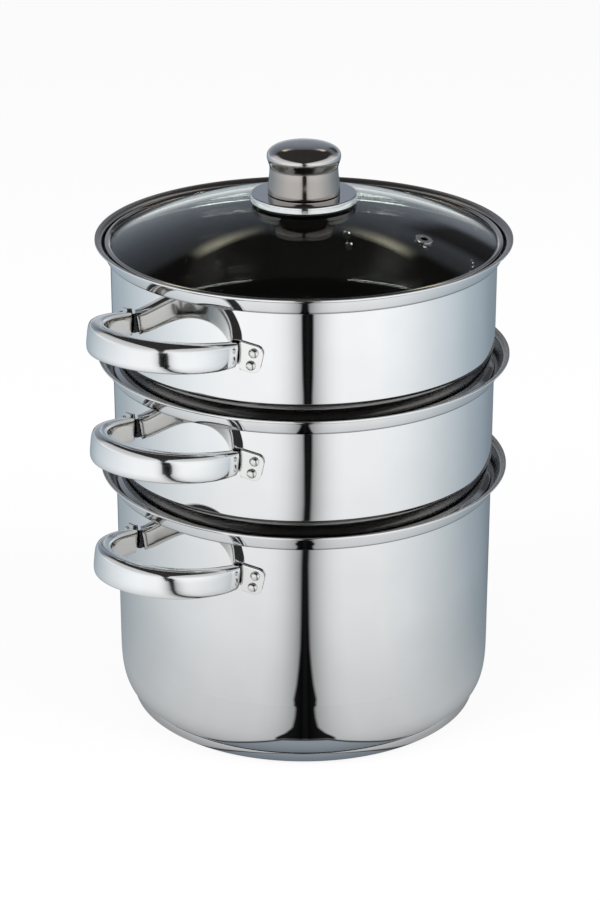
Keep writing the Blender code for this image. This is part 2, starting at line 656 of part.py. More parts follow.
# Steel eyelet round the steam vent, square to the dome
vent_tilt = math.asin(VENT_DISTANCE / DOME_RADIUS)
vent_spot = Matrix.Rotation(VENT_AZIMUTH, 4, "Z")
vent_spot = vent_spot @ Matrix.Translation((VENT_DISTANCE, 0, dome_height(VENT_DISTANCE)))
vent_spot = vent_spot @ Matrix.Rotation(vent_tilt, 4, "Y")
vent_mesh = pegs_mesh("vent_hole", [Matrix.Identity(4)], VENT_SLEEVE_RADIUS + GAP,
                      -GLASS_THICKNESS - CUT_OVERRUN, CUT_OVERRUN, VENT_STEPS)
cut(glass, cutter_object("vent_hole", vent_mesh, lid, vent_spot), "Vent hole")
under_glass = -GLASS_THICKNESS - GAP
eyelet_profile = [(VENT_BORE_RADIUS, GAP + VENT_FLANGE_THICKNESS),
                  (VENT_FLANGE_RADIUS - VENT_FLANGE_THICKNESS / 2, GAP + VENT_FLANGE_THICKNESS),
                  (VENT_FLANGE_RADIUS, GAP + VENT_FLANGE_THICKNESS / 2),
                  (VENT_FLANGE_RADIUS, GAP),
                  (VENT_SLEEVE_RADIUS, GAP),
                  (VENT_SLEEVE_RADIUS, under_glass),
                  (VENT_FLANGE_RADIUS, under_glass),
                  (VENT_FLANGE_RADIUS, under_glass - VENT_FLANGE_THICKNESS),
                  (VENT_BORE_RADIUS, under_glass - VENT_FLANGE_THICKNESS)]
eyelet = turned("vent_eyelet", eyelet_profile, mirror_steel, VENT_STEPS, closed=True)
place(eyelet, lid, vent_spot)

# Black gasket between the glass and the knob's flange, hollowed to the dome
SCREW_HOLE_RADIUS = SCREW_SHANK_RADIUS + GAP
gasket_top = APEX_HEIGHT + GASKET_CROWN
gasket_middle = (SCREW_HOLE_RADIUS + GASKET_RADIUS) / 2
gasket_profile = [(SCREW_HOLE_RADIUS, gasket_top),
                  (GASKET_RADIUS, gasket_top),
                  (GASKET_RADIUS, dome_height(GASKET_RADIUS) + GAP),
                  (gasket_middle, dome_height(gasket_middle) + GAP),
                  (SCREW_HOLE_RADIUS, dome_height(SCREW_HOLE_RADIUS) + GAP)]
place(turned("knob_gasket", gasket_profile, black_silicone, KNOB_STEPS, closed=True), lid)

# Steel flange and collar under the knob
flange_foot = gasket_top + GAP
flange_top = flange_foot + FLANGE_THICKNESS
collar_top = flange_top + COLLAR_HEIGHT
flange_profile = [(SCREW_HOLE_RADIUS, collar_top),
                  (COLLAR_RADIUS, collar_top),
                  (COLLAR_RADIUS, flange_top),
                  (FLANGE_RADIUS - FLANGE_ROUND, flange_top),
                  (FLANGE_RADIUS, flange_top - FLANGE_ROUND),
                  (FLANGE_RADIUS, flange_foot + FLANGE_ROUND),
                  (FLANGE_RADIUS - FLANGE_ROUND, flange_foot),
                  (SCREW_HOLE_RADIUS, flange_foot)]
place(turned("knob_flange", flange_profile, mirror_steel, KNOB_STEPS, closed=True), lid)

# Pressed steel shell of the knob: flared foot round the collar, waist, bulge and low crown
shell_foot = flange_top + GAP
crown_rise = SHELL_HEIGHT - SHELL_BULGE_HEIGHT
shell_profile = []
for i in range(SHELL_SEGMENTS + 1):
    turn = math.pi / 2 * (1 - i / SHELL_SEGMENTS)
    across = math.cos(turn) ** (2 / SHELL_CROWN_POWER) if i > 0 else 0
    rise = math.sin(turn) ** (2 / SHELL_CROWN_POWER)
    level = shell_foot + SHELL_BULGE_HEIGHT + crown_rise * rise
    shell_profile.append((SHELL_BULGE_RADIUS * across, level))
waist_stretches = ((SHELL_BULGE_RADIUS, SHELL_BULGE_HEIGHT, SHELL_WAIST_RADIUS, SHELL_WAIST_HEIGHT),
                   (SHELL_WAIST_RADIUS, SHELL_WAIST_HEIGHT, SHELL_BASE_RADIUS, 0))
for start_radius, start_height, end_radius, end_height in waist_stretches:
    for i in range(1, SHELL_SEGMENTS + 1):
        blend = (1 - math.cos(math.pi * i / SHELL_SEGMENTS)) / 2
        level = start_height + (end_height - start_height) * i / SHELL_SEGMENTS
        shell_profile.append((start_radius + (end_radius - start_radius) * blend, shell_foot + level))
place(turned("knob_shell", shell_profile, mirror_steel, KNOB_STEPS, SHELL_SHEET), lid)

# Moulded core that fills the shell and takes the screw
core_side = SHELL_WAIST_RADIUS - SHELL_SHEET - GAP
core_foot = collar_top + GAP
bore_top = core_foot + SCREW_REACH + GAP
knob_core_profile = [(0, core_foot + CORE_HEIGHT), (core_side, core_foot + CORE_HEIGHT),
                     (core_side, core_foot), (SCREW_HOLE_RADIUS, core_foot),
                     (SCREW_HOLE_RADIUS, bore_top), (0, bore_top)]
place(turned("knob_core", knob_core_profile, black_plastic, KNOB_STEPS), lid)

# Seal, washer and screw that clamp the knob from below the glass
seal_top = dome_height(SEAL_RADIUS) - GLASS_THICKNESS - GAP
washer_top = seal_top - SEAL_THICKNESS - GAP
head_top = washer_top - WASHER_THICKNESS - GAP
rings = (("screw_seal", SEAL_RADIUS, seal_top, SEAL_THICKNESS, black_silicone),
         ("screw_washer", WASHER_RADIUS, washer_top, WASHER_THICKNESS, screw_steel))
for name, radius, top, thickness, material in rings:
    ring_profile = [(SCREW_HOLE_RADIUS, top), (radius, top),
                    (radius, top - thickness), (SCREW_HOLE_RADIUS, top - thickness)]
    place(turned(name, ring_profile, material, KNOB_STEPS, closed=True), lid)
screw_profile = [(0, core_foot + SCREW_REACH),
                 (SCREW_SHANK_RADIUS, core_foot + SCREW_REACH),
                 (SCREW_SHANK_RADIUS, head_top),
                 (SCREW_HEAD_RADIUS, head_top),
                 (SCREW_HEAD_RADIUS, head_top - SCREW_HEAD_HEIGHT + SCREW_HEAD_ROUND),
                 (SCREW_HEAD_RADIUS - SCREW_HEAD_ROUND, head_top - SCREW_HEAD_HEIGHT),
                 (0, head_top - SCREW_HEAD_HEIGHT)]
place(turned("knob_screw", screw_profile, screw_steel, KNOB_STEPS // 2), lid)
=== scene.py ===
import math

import bpy
from mathutils import Matrix, Vector


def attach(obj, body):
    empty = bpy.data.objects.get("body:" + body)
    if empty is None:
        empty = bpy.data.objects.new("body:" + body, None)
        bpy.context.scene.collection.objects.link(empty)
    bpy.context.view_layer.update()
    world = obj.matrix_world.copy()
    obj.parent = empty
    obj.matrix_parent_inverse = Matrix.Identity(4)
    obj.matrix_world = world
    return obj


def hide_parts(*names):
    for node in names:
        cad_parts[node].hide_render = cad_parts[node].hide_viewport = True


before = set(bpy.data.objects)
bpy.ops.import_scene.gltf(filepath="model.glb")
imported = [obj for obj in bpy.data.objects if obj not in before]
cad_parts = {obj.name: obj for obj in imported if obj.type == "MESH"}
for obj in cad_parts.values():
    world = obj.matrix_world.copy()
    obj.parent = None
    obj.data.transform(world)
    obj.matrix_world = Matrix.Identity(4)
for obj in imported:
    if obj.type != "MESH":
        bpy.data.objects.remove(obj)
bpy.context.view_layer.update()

# Pot: a deep bowl drawn from one stainless sheet. Its upper edge is stepped
# out and flared into a lip, which carries the steamer above. The outside is
# buffed to a mirror, with shade painted darker on the ledge at the step, and
# the inside is left satin, with shade painted dark into it.
SHEET = 0.0008
WALL_RADIUS = 0.100
POT_STEP = 0.125
POT_FLOOR = 0.0048
POT_FLOOR_RADIUS = 0.087
CORNER_TOP = 0.035
CORNER_POWER = 3.3
CORNER_STEPS = 28
CREASE_DEPTH = 0.00003
CREASE_HALF_HEIGHT = 0.0012
CREASE_STEPS = 8
LEDGE_WIDTH = 0.0022
BAND_FLARE = 0.0026
BAND_HEIGHT = 0.0060
LIP_REACH = 0.0030
LIP_RISE = 0.0019
LIP_STEPS = 10
LEDGE_ROUND = 0.0007
STEP_ROUND = 0.0006
EDGE_ROUND = 0.00028
FLOOR_GUARD = 0.002
SIDES = 192
WELD = 0.000004
SHARP = math.radians(40)
CUT_EDGE = math.radians(50)
ARC_GUARD = 1.5
LINE_DETAIL = 3.0
CLOUD_SCALE = 35.0
CLOUD_DETAIL = 2.0
CLOUD_SHADE = 0.97
CLOUD_LOW = 0.35
CLOUD_HIGH = 0.65


class Shade:
    """A shader socket on which plain sums and products add Math nodes."""

    def __init__(self, tree, socket=None):
        self.tree = tree
        self.socket = socket

    def node(self, kind, settings=None, sockets=None, output=0):
        """Add any node, with its settings first and then its inputs."""
        item = self.tree.nodes.new(kind)
        for name, value in (settings or {}).items():
            if name == "stops":
                self.set_stops(item.color_ramp, value)
            else:
                setattr(item, name, value)
        for name, value in (sockets or {}).items():
            if isinstance(value, Shade):
                self.tree.links.new(value.socket, item.inputs[name])
            else:
                item.inputs[name].default_value = value
        return Shade(self.tree, item.outputs[output]) if item.outputs else None

    def set_stops(self, ramp, stops):
        """Write a colour ramp's stops, given as place and colour or grey."""
        while len(ramp.elements) < len(stops):
            ramp.elements.new(1)
        for element, (spot, colour) in zip(ramp.elements, stops):
            element.position = spot
            element.color = (*colour, 1) if isinstance(colour, tuple) else (colour, colour, colour, 1)

    def part(self, output):
        """Another output of the same node."""
        return Shade(self.tree, self.socket.node.outputs[output])

    def maths(self, operation, first, second=0.0):
        """A Math node on one or two values."""
        return self.node("ShaderNodeMath", {"operation": operation}, {0: first, 1: second})

    def __add__(self, other):
        return self.maths("ADD", self, other)

    def __radd__(self, other):
        return self.maths("ADD", other, self)

    def __sub__(self, other):
        return self.maths("SUBTRACT", self, other)

    def __rsub__(self, other):
        return self.maths("SUBTRACT", other, self)

    def __mul__(self, other):
        return self.maths("MULTIPLY", self, other)

    def __rmul__(self, other):
        return self.maths("MULTIPLY", other, self)

    def __truediv__(self, other):
        return self.maths("DIVIDE", self, other)

    def __abs__(self):
        return self.maths("ABSOLUTE", self)

    def ramp(self, stops):
        """Grey or colour that follows the value through the given stops."""
        return self.node("ShaderNodeValToRGB", {"stops": stops}, {"Fac": self})

    def mix(self, first, second):
        """Colour between two others, by the value."""
        return self.node("ShaderNodeMix", {"data_type": "RGBA"}, {0: self, 6: first, 7: second}, 2)

    def feed(self, shader, name):
        """Link the value to one input of a shader."""
        self.tree.links.new(self.socket, shader.inputs[name])


def blank_finish(name, sockets):
    """Material with a Principled shader, its plain values and a Shade to start from."""
    material = bpy.data.materials.new(name)
    material.use_nodes = True
    shader = material.node_tree.nodes["Principled BSDF"]
    for socket, value in sockets.items():
        shader.inputs[socket].default_value = value
    return material, shader, Shade(material.node_tree)


def axis_places(start):
    """Distance from the Z axis and height of a point of a piece."""
    place = start.node("ShaderNodeTexCoord", output="Object")
    level = start.node("ShaderNodeSeparateXYZ", sockets={"Vector": place}, output="Z")
    flat = start.node("ShaderNodeVectorMath", {"operation": "MULTIPLY"}, {0: place, 1: (1, 1, 0)})
    radius = start.node("ShaderNodeVectorMath", {"operation": "LENGTH"}, {0: flat}, "Value")
    return radius, level


def noise(start, scale, detail, place=None):
    """Noise at a place, or over the piece itself where no place is given."""
    place = place or start.node("ShaderNodeTexCoord", output="Object")
    return start.node("ShaderNodeTexNoise", sockets={"Vector": place, "Scale": scale, "Detail": detail})


def steel_finish(name, colour, roughness, spread, fineness, shade_zones=None, upright=False, blur=0.0):
    """Steel whose gloss varies in fine turned lines, with painted shade zones out or up from the axis."""
    material, shader, start = blank_finish(name, {"Metallic": 1.0})
    radius, level = axis_places(start)
    spot = start.node("ShaderNodeCombineXYZ", sockets={"X": radius, "Y": level})
    lines = noise(start, fineness, LINE_DETAIL, spot)
    cloud = noise(start, CLOUD_SCALE, CLOUD_DETAIL)
    dark = tuple(CLOUD_SHADE * channel for channel in colour)
    tint = cloud.ramp([(CLOUD_LOW, dark), (CLOUD_HIGH, colour)])
    gloss = roughness + spread * (lines + cloud - 1)
    # Shade zones multiply the colour darker by distance from the axis or by height: painted shade.
    if shade_zones:
        low, high = shade_zones[0][0], shade_zones[-1][0]
        shares = [((place - low) / (high - low), shade) for place, shade in shade_zones]
        depth = (((level if upright else radius) - low) / (high - low)).ramp(shares)
        tint = start.node("ShaderNodeMix", {"data_type": "RGBA", "blend_type": "MULTIPLY"},
                          {0: 1.0, 6: tint, 7: depth}, 2)
        gloss = gloss + blur * depth
    tint.feed(shader, "Base Color")
    gloss.feed(shader, "Roughness")
    return material


# The mirror steel is painted darker, to 0.42 of its colour, from 0.1006 to 0.1024 out from the axis:
# painted shade on the ledge where the wall steps out.
mirror_steel = steel_finish("mirror_steel", (0.905, 0.918, 0.928), 0.03, 0.015, 900.0,
                            shade_zones=[(0.1001, 1.0), (0.1006, 0.42), (0.1024, 0.42), (0.1028, 1.0)])
# The insides' satin roughness is their finish. Their dark colour is painted shade in the hollows: near
# black at the inserts' waist and skirt, dark down the inner walls, lighter on the floors and out towards
# the lip.
satin_and_painted_shade_steel = steel_finish("satin_and_painted_shade_steel", (0.62, 0.60, 0.58), 0.03, 0.006, 400.0, blur=0.30,
                           shade_zones=[(0.0950, 0.80), (0.0968, 0.30), (0.0974, 0.04), (0.0990, 0.04),
                                  (0.09915, 0.24), (0.1005, 0.50), (0.1035, 0.58), (0.1062, 1.0)])


def rounded(corners, steps=6):
    """Outline through corners of radius, height and rounding, with an arc at each."""
    points = []
    for index, (radius, height, rounding) in enumerate(corners):
        here = Vector((radius, height))
        if rounding == 0:
            points.append(tuple(here))
            continue
        back = (Vector(corners[index - 1][:2]) - here).normalized()
        ahead = (Vector(corners[index + 1][:2]) - here).normalized()
        half = back.angle(ahead) / 2
        reach = rounding / math.tan(half)
        centre = here + (back + ahead).normalized() * rounding / math.sin(half)
        sweep = math.pi - 2 * half
        sweep = sweep if back.x * ahead.y - back.y * ahead.x < 0 else -sweep
        spoke = here + back * reach - centre
        points.append(tuple(here + back * reach * ARC_GUARD))
        for step in range(steps + 1):
            turned = Matrix.Rotation(sweep * step / steps, 2) @ spoke
            points.append(tuple(centre + turned))
        points.append(tuple(here + ahead * reach * ARC_GUARD))
    return points


def lip_curve(step):
    """Outer side of a lip that rolls outwards on top of the flared band."""
    foot = WALL_RADIUS + LEDGE_WIDTH + BAND_FLARE
    points = []
    for index in range(LIP_STEPS, -1, -1):
        angle = math.pi / 2 * index / LIP_STEPS
        radius = foot + LIP_REACH * (1 - math.cos(angle))
        points.append((radius, step + BAND_HEIGHT + LIP_RISE * math.sin(angle), 0))
    return points


def rim_corners(step):
    """Lip, flared band and ledge that top each tier, down to the wall."""
    return lip_curve(step) + [(WALL_RADIUS + LEDGE_WIDTH, step, LEDGE_ROUND),
                              (WALL_RADIUS, step, STEP_ROUND)]


def turn(name, profile, sides=SIDES):
    """Turn an outline of radii and heights about Z, extruding one ring after another."""
    capped = profile[0][0] == 0
    rings = profile[1:] if capped else profile
    radius, height = rings[0]
    bpy.ops.object.select_all(action="DESELECT")
    bpy.ops.mesh.primitive_circle_add(vertices=sides, radius=radius, location=(0, 0, height),
                                      fill_type="NGON" if capped else "NOTHING")
    item = bpy.context.object
    item.name = name
    item.data.name = name
    bpy.ops.object.mode_set(mode="EDIT")
    bpy.ops.mesh.select_mode(type="EDGE")
    bpy.ops.mesh.select_all(action="SELECT")
    for next_radius, next_height in rings[1:]:
        if next_radius == 0 and next_height == height:
            bpy.ops.mesh.edge_face_add()
            break
        rise = (0, 0, next_height - height)
        bpy.ops.mesh.extrude_edges_move(TRANSFORM_OT_translate={"value": rise})
        if next_radius == 0:
            bpy.ops.mesh.merge(type="CENTER")
            break
        share = next_radius / radius
        bpy.ops.transform.resize(value=(share, share, 1), center_override=(0, 0, next_height))
        radius, height = next_radius, next_height
    bpy.ops.mesh.select_all(action="SELECT")
    bpy.ops.mesh.remove_doubles(threshold=WELD)
    bpy.ops.mesh.normals_make_consistent(inside=False)
    bpy.ops.object.mode_set(mode="OBJECT")
    bpy.ops.object.transform_apply(location=True, rotation=False, scale=False)
    return item


def pick(item):
    """Select one piece and nothing else."""
    bpy.ops.object.select_all(action="DESELECT")
    item.select_set(True)
    bpy.context.view_layer.objects.active = item


def apply_modifier(item, kind, **settings):
    """Add one modifier to a piece and apply it."""
    pick(item)
    bpy.ops.object.modifier_add(type=kind)
    modifier = item.modifiers[-1]
    for name, value in settings.items():
        setattr(modifier, name, value)
    bpy.ops.object.modifier_apply(modifier=modifier.name)


def coat(item, *finishes):
    """Give a piece its finishes, of which the second goes to its inner side."""
    for finish in finishes:
        item.data.materials.append(finish)


def thicken(item, wall):
    """Give a skin its sheet thickness inwards, in its second finish if it has one."""
    inner = min(len(item.data.materials) - 1, 1)
    apply_modifier(item, "SOLIDIFY", thickness=wall, offset=-1, use_even_offset=True,
                   use_quality_normals=True, material_offset=inner)


def ease_edges(item, width, segments=3):
    """Round off the cut edges of a piece."""
    apply_modifier(item, "BEVEL", width=width, segments=segments, limit_method="ANGLE",
                   angle_limit=CUT_EDGE)


def settle(item, body, slot, *nodes):
    """Smooth a finished piece and fix it to its body in place of its CAD nodes."""
    pick(item)
    bpy.ops.object.shade_smooth_by_angle(angle=SHARP)
    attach(item, body)
    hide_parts(*nodes)


def corner_curve():
    """Faint crease and the deep rounded corner below it, down to the flat floor."""
    points = []
    for index in range(CREASE_STEPS + 1):
        share = index / CREASE_STEPS
        swell = CREASE_DEPTH * (1 - math.cos(2 * math.pi * share)) / 2
        points.append((WALL_RADIUS + swell, CORNER_TOP + CREASE_HALF_HEIGHT * (2 - 2 * share)))
    for index in range(1, CORNER_STEPS + 1):
        angle = math.pi / 2 * index / CORNER_STEPS
        across = max(math.cos(angle), 0) ** (2 / CORNER_POWER)
        down = math.sin(angle) ** (2 / CORNER_POWER)
        points.append((POT_FLOOR_RADIUS + (WALL_RADIUS - POT_FLOOR_RADIUS) * across,
                       CORNER_TOP - (CORNER_TOP - POT_FLOOR) * down))
    return points


pot_outline = rounded(rim_corners(POT_STEP) + [(WALL_RADIUS, POT_STEP / 2, 0)])
pot_outline += corner_curve()
pot_outline += [(POT_FLOOR_RADIUS - FLOOR_GUARD, POT_FLOOR), (0, POT_FLOOR)]
pot_bowl = turn("pot_bowl", pot_outline)
coat(pot_bowl, mirror_steel, satin_and_painted_shade_steel)
thicken(pot_bowl, SHEET)
ease_edges(pot_bowl, EDGE_ROUND)
settle(pot_bowl, "pot", "mirror_steel", "pot_body")

# Base: a thin steel capsule pressed round the pot's bottom corner, with a disc
# of aluminium sealed inside that spreads the heat. Its underside is spun.
CAPSULE_RADIUS = 0.0933
CAPSULE_SHEET = 0.0006
CAPSULE_ROUND = 0.0012
CAPSULE_EDGE = 0.6 * EDGE_ROUND
UNDERSIDE_GUARD = 0.95
PAD_GAP = 0.0003

base_steel = steel_finish("base_steel", (0.86, 0.87, 0.88), 0.05, 0.02, 1200.0)
core_aluminium = steel_finish("core_aluminium", (0.70, 0.70, 0.71), 0.40, 0.10, 800.0)


def corner_level(radius):
    """Height of the pot's rounded corner at one radius."""
    share = (radius - POT_FLOOR_RADIUS) / (WALL_RADIUS - POT_FLOOR_RADIUS)
    sweep = (1 - share ** CORNER_POWER) ** (1 / CORNER_POWER)
    return CORNER_TOP - (CORNER_TOP - POT_FLOOR) * sweep


capsule_top = corner_level(CAPSULE_RADIUS - CAPSULE_SHEET) - PAD_GAP
base_capsule = turn("base_shell", rounded([
    (CAPSULE_RADIUS, capsule_top, 0), (CAPSULE_RADIUS, 0, CAPSULE_ROUND),
    (CAPSULE_RADIUS * UNDERSIDE_GUARD, 0, 0), (0, 0, 0)]))
coat(base_capsule, base_steel)
thicken(base_capsule, CAPSULE_SHEET)
ease_edges(base_capsule, CAPSULE_EDGE)
settle(base_capsule, "pot", "base_steel", "base_capsule")

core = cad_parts["base_core"]
core.data.materials.clear()
core.data.materials.append(core_aluminium)

# Two steamer inserts: shallow pans of the same sheet, each with a turned-in
# skirt that drops into the rim below it, a soft waist in the wall and a floor
# pierced by rings of round steam holes.
TIER_PITCH = 0.0621
SEAT_ABOVE_STEP = 0.0011
INSERT_STEP = TIER_PITCH - SEAT_ABOVE_STEP
LOWER_SEAT = POT_STEP + SEAT_ABOVE_STEP
UPPER_SEAT = LOWER_SEAT + TIER_PITCH
LID_SEAT = UPPER_SEAT + TIER_PITCH
CREASE_LEVEL = 0.0138
WAIST_DEPTH = 0.0007
WAIST_FOOT_DEPTH = 0.0026
WAIST_DROP = 0.0012
SHOULDER_HEIGHT = 0.0012
SKIRT_RADIUS = 0.0983
SKIRT_DEPTH = 0.0100
SKIRT_CORNER = 0.0040
SHOULDER_ROUND = 0.0004
HOLE_RADIUS = 0.0040
HOLE_PITCH = 0.0200
HOLE_RINGS = 3
HOLES_ADDED = 6
HOLE_SIDES = 28
HOLE_EDGE = 0.7 * EDGE_ROUND
CUTTER_HEIGHT = 0.004

insert_corners = rim_corners(INSERT_STEP)
insert_corners += [(WALL_RADIUS, CREASE_LEVEL, WAIST_DROP),
                   (WALL_RADIUS - WAIST_DEPTH, CREASE_LEVEL - WAIST_DROP, WAIST_DROP),
                   (WALL_RADIUS - WAIST_FOOT_DEPTH, SHOULDER_HEIGHT + WAIST_DROP, SHOULDER_ROUND),
                   (WALL_RADIUS, SHOULDER_HEIGHT, SHOULDER_ROUND),
                   (WALL_RADIUS, 0, SHOULDER_ROUND),
                   (SKIRT_RADIUS, 0, SHOULDER_ROUND),
                   (SKIRT_RADIUS, -SKIRT_DEPTH, SKIRT_CORNER),
                   (SKIRT_RADIUS - 2 * SKIRT_CORNER, -SKIRT_DEPTH, 0),
                   (0, -SKIRT_DEPTH, 0)]


def lift(item, height):
    """Raise a piece and leave the rise in its mesh."""
    item.location.z += height
    pick(item)
    bpy.ops.object.transform_apply(location=True, rotation=False, scale=False)


def cut(item, cutter):
    """Cut the shape of one piece out of another and drop the cutter."""
    apply_modifier(item, "BOOLEAN", operation="DIFFERENCE", solver="EXACT", object=cutter)
    bpy.data.objects.remove(cutter, do_unlink=True)


def steam_hole_pegs():
    """Pegs in the middle and in rings of six, twelve and eighteen round it."""
    bpy.ops.object.select_all(action="DESELECT")
    pegs = []
    for ring in range(HOLE_RINGS + 1):
        count = max(HOLES_ADDED * ring, 1)
        for index in range(count):
            angle = 2 * math.pi * index / count
            away = HOLE_PITCH * ring
            spot = (away * math.cos(angle), away * math.sin(angle), -SKIRT_DEPTH)
            bpy.ops.mesh.primitive_cylinder_add(vertices=HOLE_SIDES, radius=HOLE_RADIUS,
                                                depth=CUTTER_HEIGHT, location=spot)
            pegs.append(bpy.context.object)
    for peg in pegs:
        peg.select_set(True)
    bpy.ops.object.join()
    return bpy.context.object


for tier, seat in (("lower_steamer", LOWER_SEAT), ("upper_steamer", UPPER_SEAT)):
    pan = turn(f"{tier}_pan", rounded(insert_corners))
    coat(pan, mirror_steel, satin_and_painted_shade_steel)
    thicken(pan, SHEET)
    cut(pan, steam_hole_pegs())
    ease_edges(pan, HOLE_EDGE, segments=2)
    lift(pan, seat)
    settle(pan, tier, "mirror_steel", f"{tier}_body")

# Loop handles: a flattened steel tube bent into a wide D, swelling towards the
# middle and drawn in at its open ends, which slip over the brackets' tongues.
TUBE_HALF_HEIGHT = 0.0079
TUBE_HALF_THICKNESS = 0.0045
TUBE_POWER = 4.0
TUBE_END_SHARE = 0.81
CRIMP_LENGTH = 0.0068
CRIMP_FOOT_SHARE = 0.74
CRIMP_TOP_SHARE = 0.90
TUBE_SWELL_POWER = 0.7
TUBE_WALL = 0.0009
TUBE_SIDES = 48
LOOP_HALF_WIDTH = 0.0350
LOOP_PROJECTION = 0.0412
LOOP_STRAIGHT = 0.0030
LOOP_POWER = 2.14
LOOP_STEPS = 60
LOOP_TILT = math.radians(9)
LOOP_ROOT = 0.09680
LOOP_ROOT_HEIGHT = 0.00187
LOOP_CENTRE = 0.012
INNER_FACING = 0.8
RIVET_DROP = 0.0190
UPPER_RIVET_DROP = 0.0243
TIER_RIVETS = {"pot": POT_STEP - RIVET_DROP,
               "lower_steamer": LOWER_SEAT + INSERT_STEP - RIVET_DROP,
               "upper_steamer": UPPER_SEAT + INSERT_STEP - UPPER_RIVET_DROP}
HAND_TURNS = {"right": 0, "left": math.pi}

handle_steel = steel_finish("handle_steel", (0.885, 0.90, 0.912), 0.10, 0.02, 500.0)
# The inner side of each loop is a darker copy of the handle steel: painted shade where the loop faces the
# wall, and a rougher gloss.
inner_painted_shade_steel = steel_finish("inner_painted_shade_steel", (0.62, 0.605, 0.58), 0.13, 0.03, 500.0)


def oval(angle, half_width, half_height, power):
    """Point of a rounded oval at one angle."""
    across = math.copysign(abs(math.cos(angle)) ** (2 / power), math.cos(angle))
    up = math.copysign(abs(math.sin(angle)) ** (2 / power), math.sin(angle))
    return half_width * across, half_height * up


def loop_stations():
    """Places along the tube with its heading and how thick and high its section is."""
    reach = WALL_RADIUS + LOOP_PROJECTION - LOOP_ROOT - LOOP_STRAIGHT
    places = [(0, LOOP_HALF_WIDTH, 0)]
    for index in range(LOOP_STEPS + 1):
        angle = math.pi * index / LOOP_STEPS
        out = max(math.sin(angle), 0) ** (2 / LOOP_POWER)
        side = oval(angle, LOOP_HALF_WIDTH, 1, LOOP_POWER)[0]
        places.append((LOOP_STRAIGHT + reach * out, side, out))
    places.append((0, -LOOP_HALF_WIDTH, 0))
    stations = []
    for index, (x, y, share) in enumerate(places):
        before = places[max(index - 1, 0)]
        after = places[min(index + 1, len(places) - 1)]
        heading = math.atan2(after[1] - before[1], after[0] - before[0])
        high = TUBE_END_SHARE + (1 - TUBE_END_SHARE) * share ** TUBE_SWELL_POWER
        past = max(x - CRIMP_LENGTH, 0) / (reach + LOOP_STRAIGHT - CRIMP_LENGTH)
        thick = CRIMP_FOOT_SHARE + (CRIMP_TOP_SHARE - CRIMP_FOOT_SHARE) * min(x / CRIMP_LENGTH, 1)
        thick += (1 - CRIMP_TOP_SHARE) * past
        stations.append((Vector((x, y, 0)), heading, thick, high))
    return stations


def bend_loop():
    """Extrude the tube's oval section from station to station round the loop."""
    stations = loop_stations()
    spot, heading, thick, high = stations[0]
    bpy.ops.object.select_all(action="DESELECT")
    bpy.ops.mesh.primitive_circle_add(vertices=TUBE_SIDES, radius=1)
    loop = bpy.context.object
    for index, vertex in enumerate(loop.data.vertices):
        across, up = oval(2 * math.pi * (index + 0.5) / TUBE_SIDES,
                          TUBE_HALF_THICKNESS * thick, TUBE_HALF_HEIGHT * high, TUBE_POWER)
        vertex.co = spot + Vector((0, across, up))
    bpy.ops.object.mode_set(mode="EDIT")
    bpy.ops.mesh.select_mode(type="EDGE")
    bpy.ops.mesh.select_all(action="SELECT")
    for next_spot, next_heading, next_thick, next_high in stations[1:]:
        bpy.ops.mesh.extrude_edges_move(TRANSFORM_OT_translate={"value": next_spot - spot})
        bend = heading - next_heading
        bpy.ops.transform.rotate(value=bend, orient_axis="Z", center_override=next_spot)
        share = next_thick / thick
        bpy.ops.transform.resize(value=(share, share, next_high / high), center_override=next_spot)
        spot, heading, thick, high = next_spot, next_heading, next_thick, next_high
    bpy.ops.mesh.select_all(action="SELECT")
    bpy.ops.mesh.normals_make_consistent(inside=False)
    bpy.ops.object.mode_set(mode="OBJECT")
    return loop


def place_copy(model, name, matrix):
    """Copy a modelled piece with a mesh of its own and set it in its place."""
    copy = bpy.data.objects.new(name, model.data.copy())
    copy.data.name = name
    copy.data.transform(matrix)
    bpy.context.collection.objects.link(copy)
    return copy


def stands():
    """Each tier and hand, with the move that takes a handle's piece there."""
    for tier, level in TIER_RIVETS.items():
        for hand, turn_angle in HAND_TURNS.items():
            raised = Matrix.Translation((0, 0, level))
            yield tier, hand, raised @ Matrix.Rotation(turn_angle, 4, "Z")


loop_model = bend_loop()
coat(loop_model, handle_steel, inner_painted_shade_steel)
# Faces turned towards the loop's middle take the darker copy: painted shade.
for face in loop_model.data.polygons:
    inward = Vector((LOOP_CENTRE - face.center.x, -face.center.y, 0)).normalized()
    face.material_index = 1 if face.normal.dot(inward) > INNER_FACING else 0
apply_modifier(loop_model, "SOLIDIFY", thickness=TUBE_WALL, offset=-1, use_even_offset=True)
ease_edges(loop_model, EDGE_ROUND, segments=2)
loop_tilt = Matrix.Translation((LOOP_ROOT, 0, LOOP_ROOT_HEIGHT)) @ Matrix.Rotation(-LOOP_TILT, 4, "Y")
for tier, hand, stand in stands():
    loop = place_copy(loop_model, f"{tier}_{hand}_grip", stand @ loop_tilt)
    settle(loop, tier, "handle_steel", f"{tier}_{hand}_handle_loop")
bpy.data.objects.remove(loop_model, do_unlink=True)

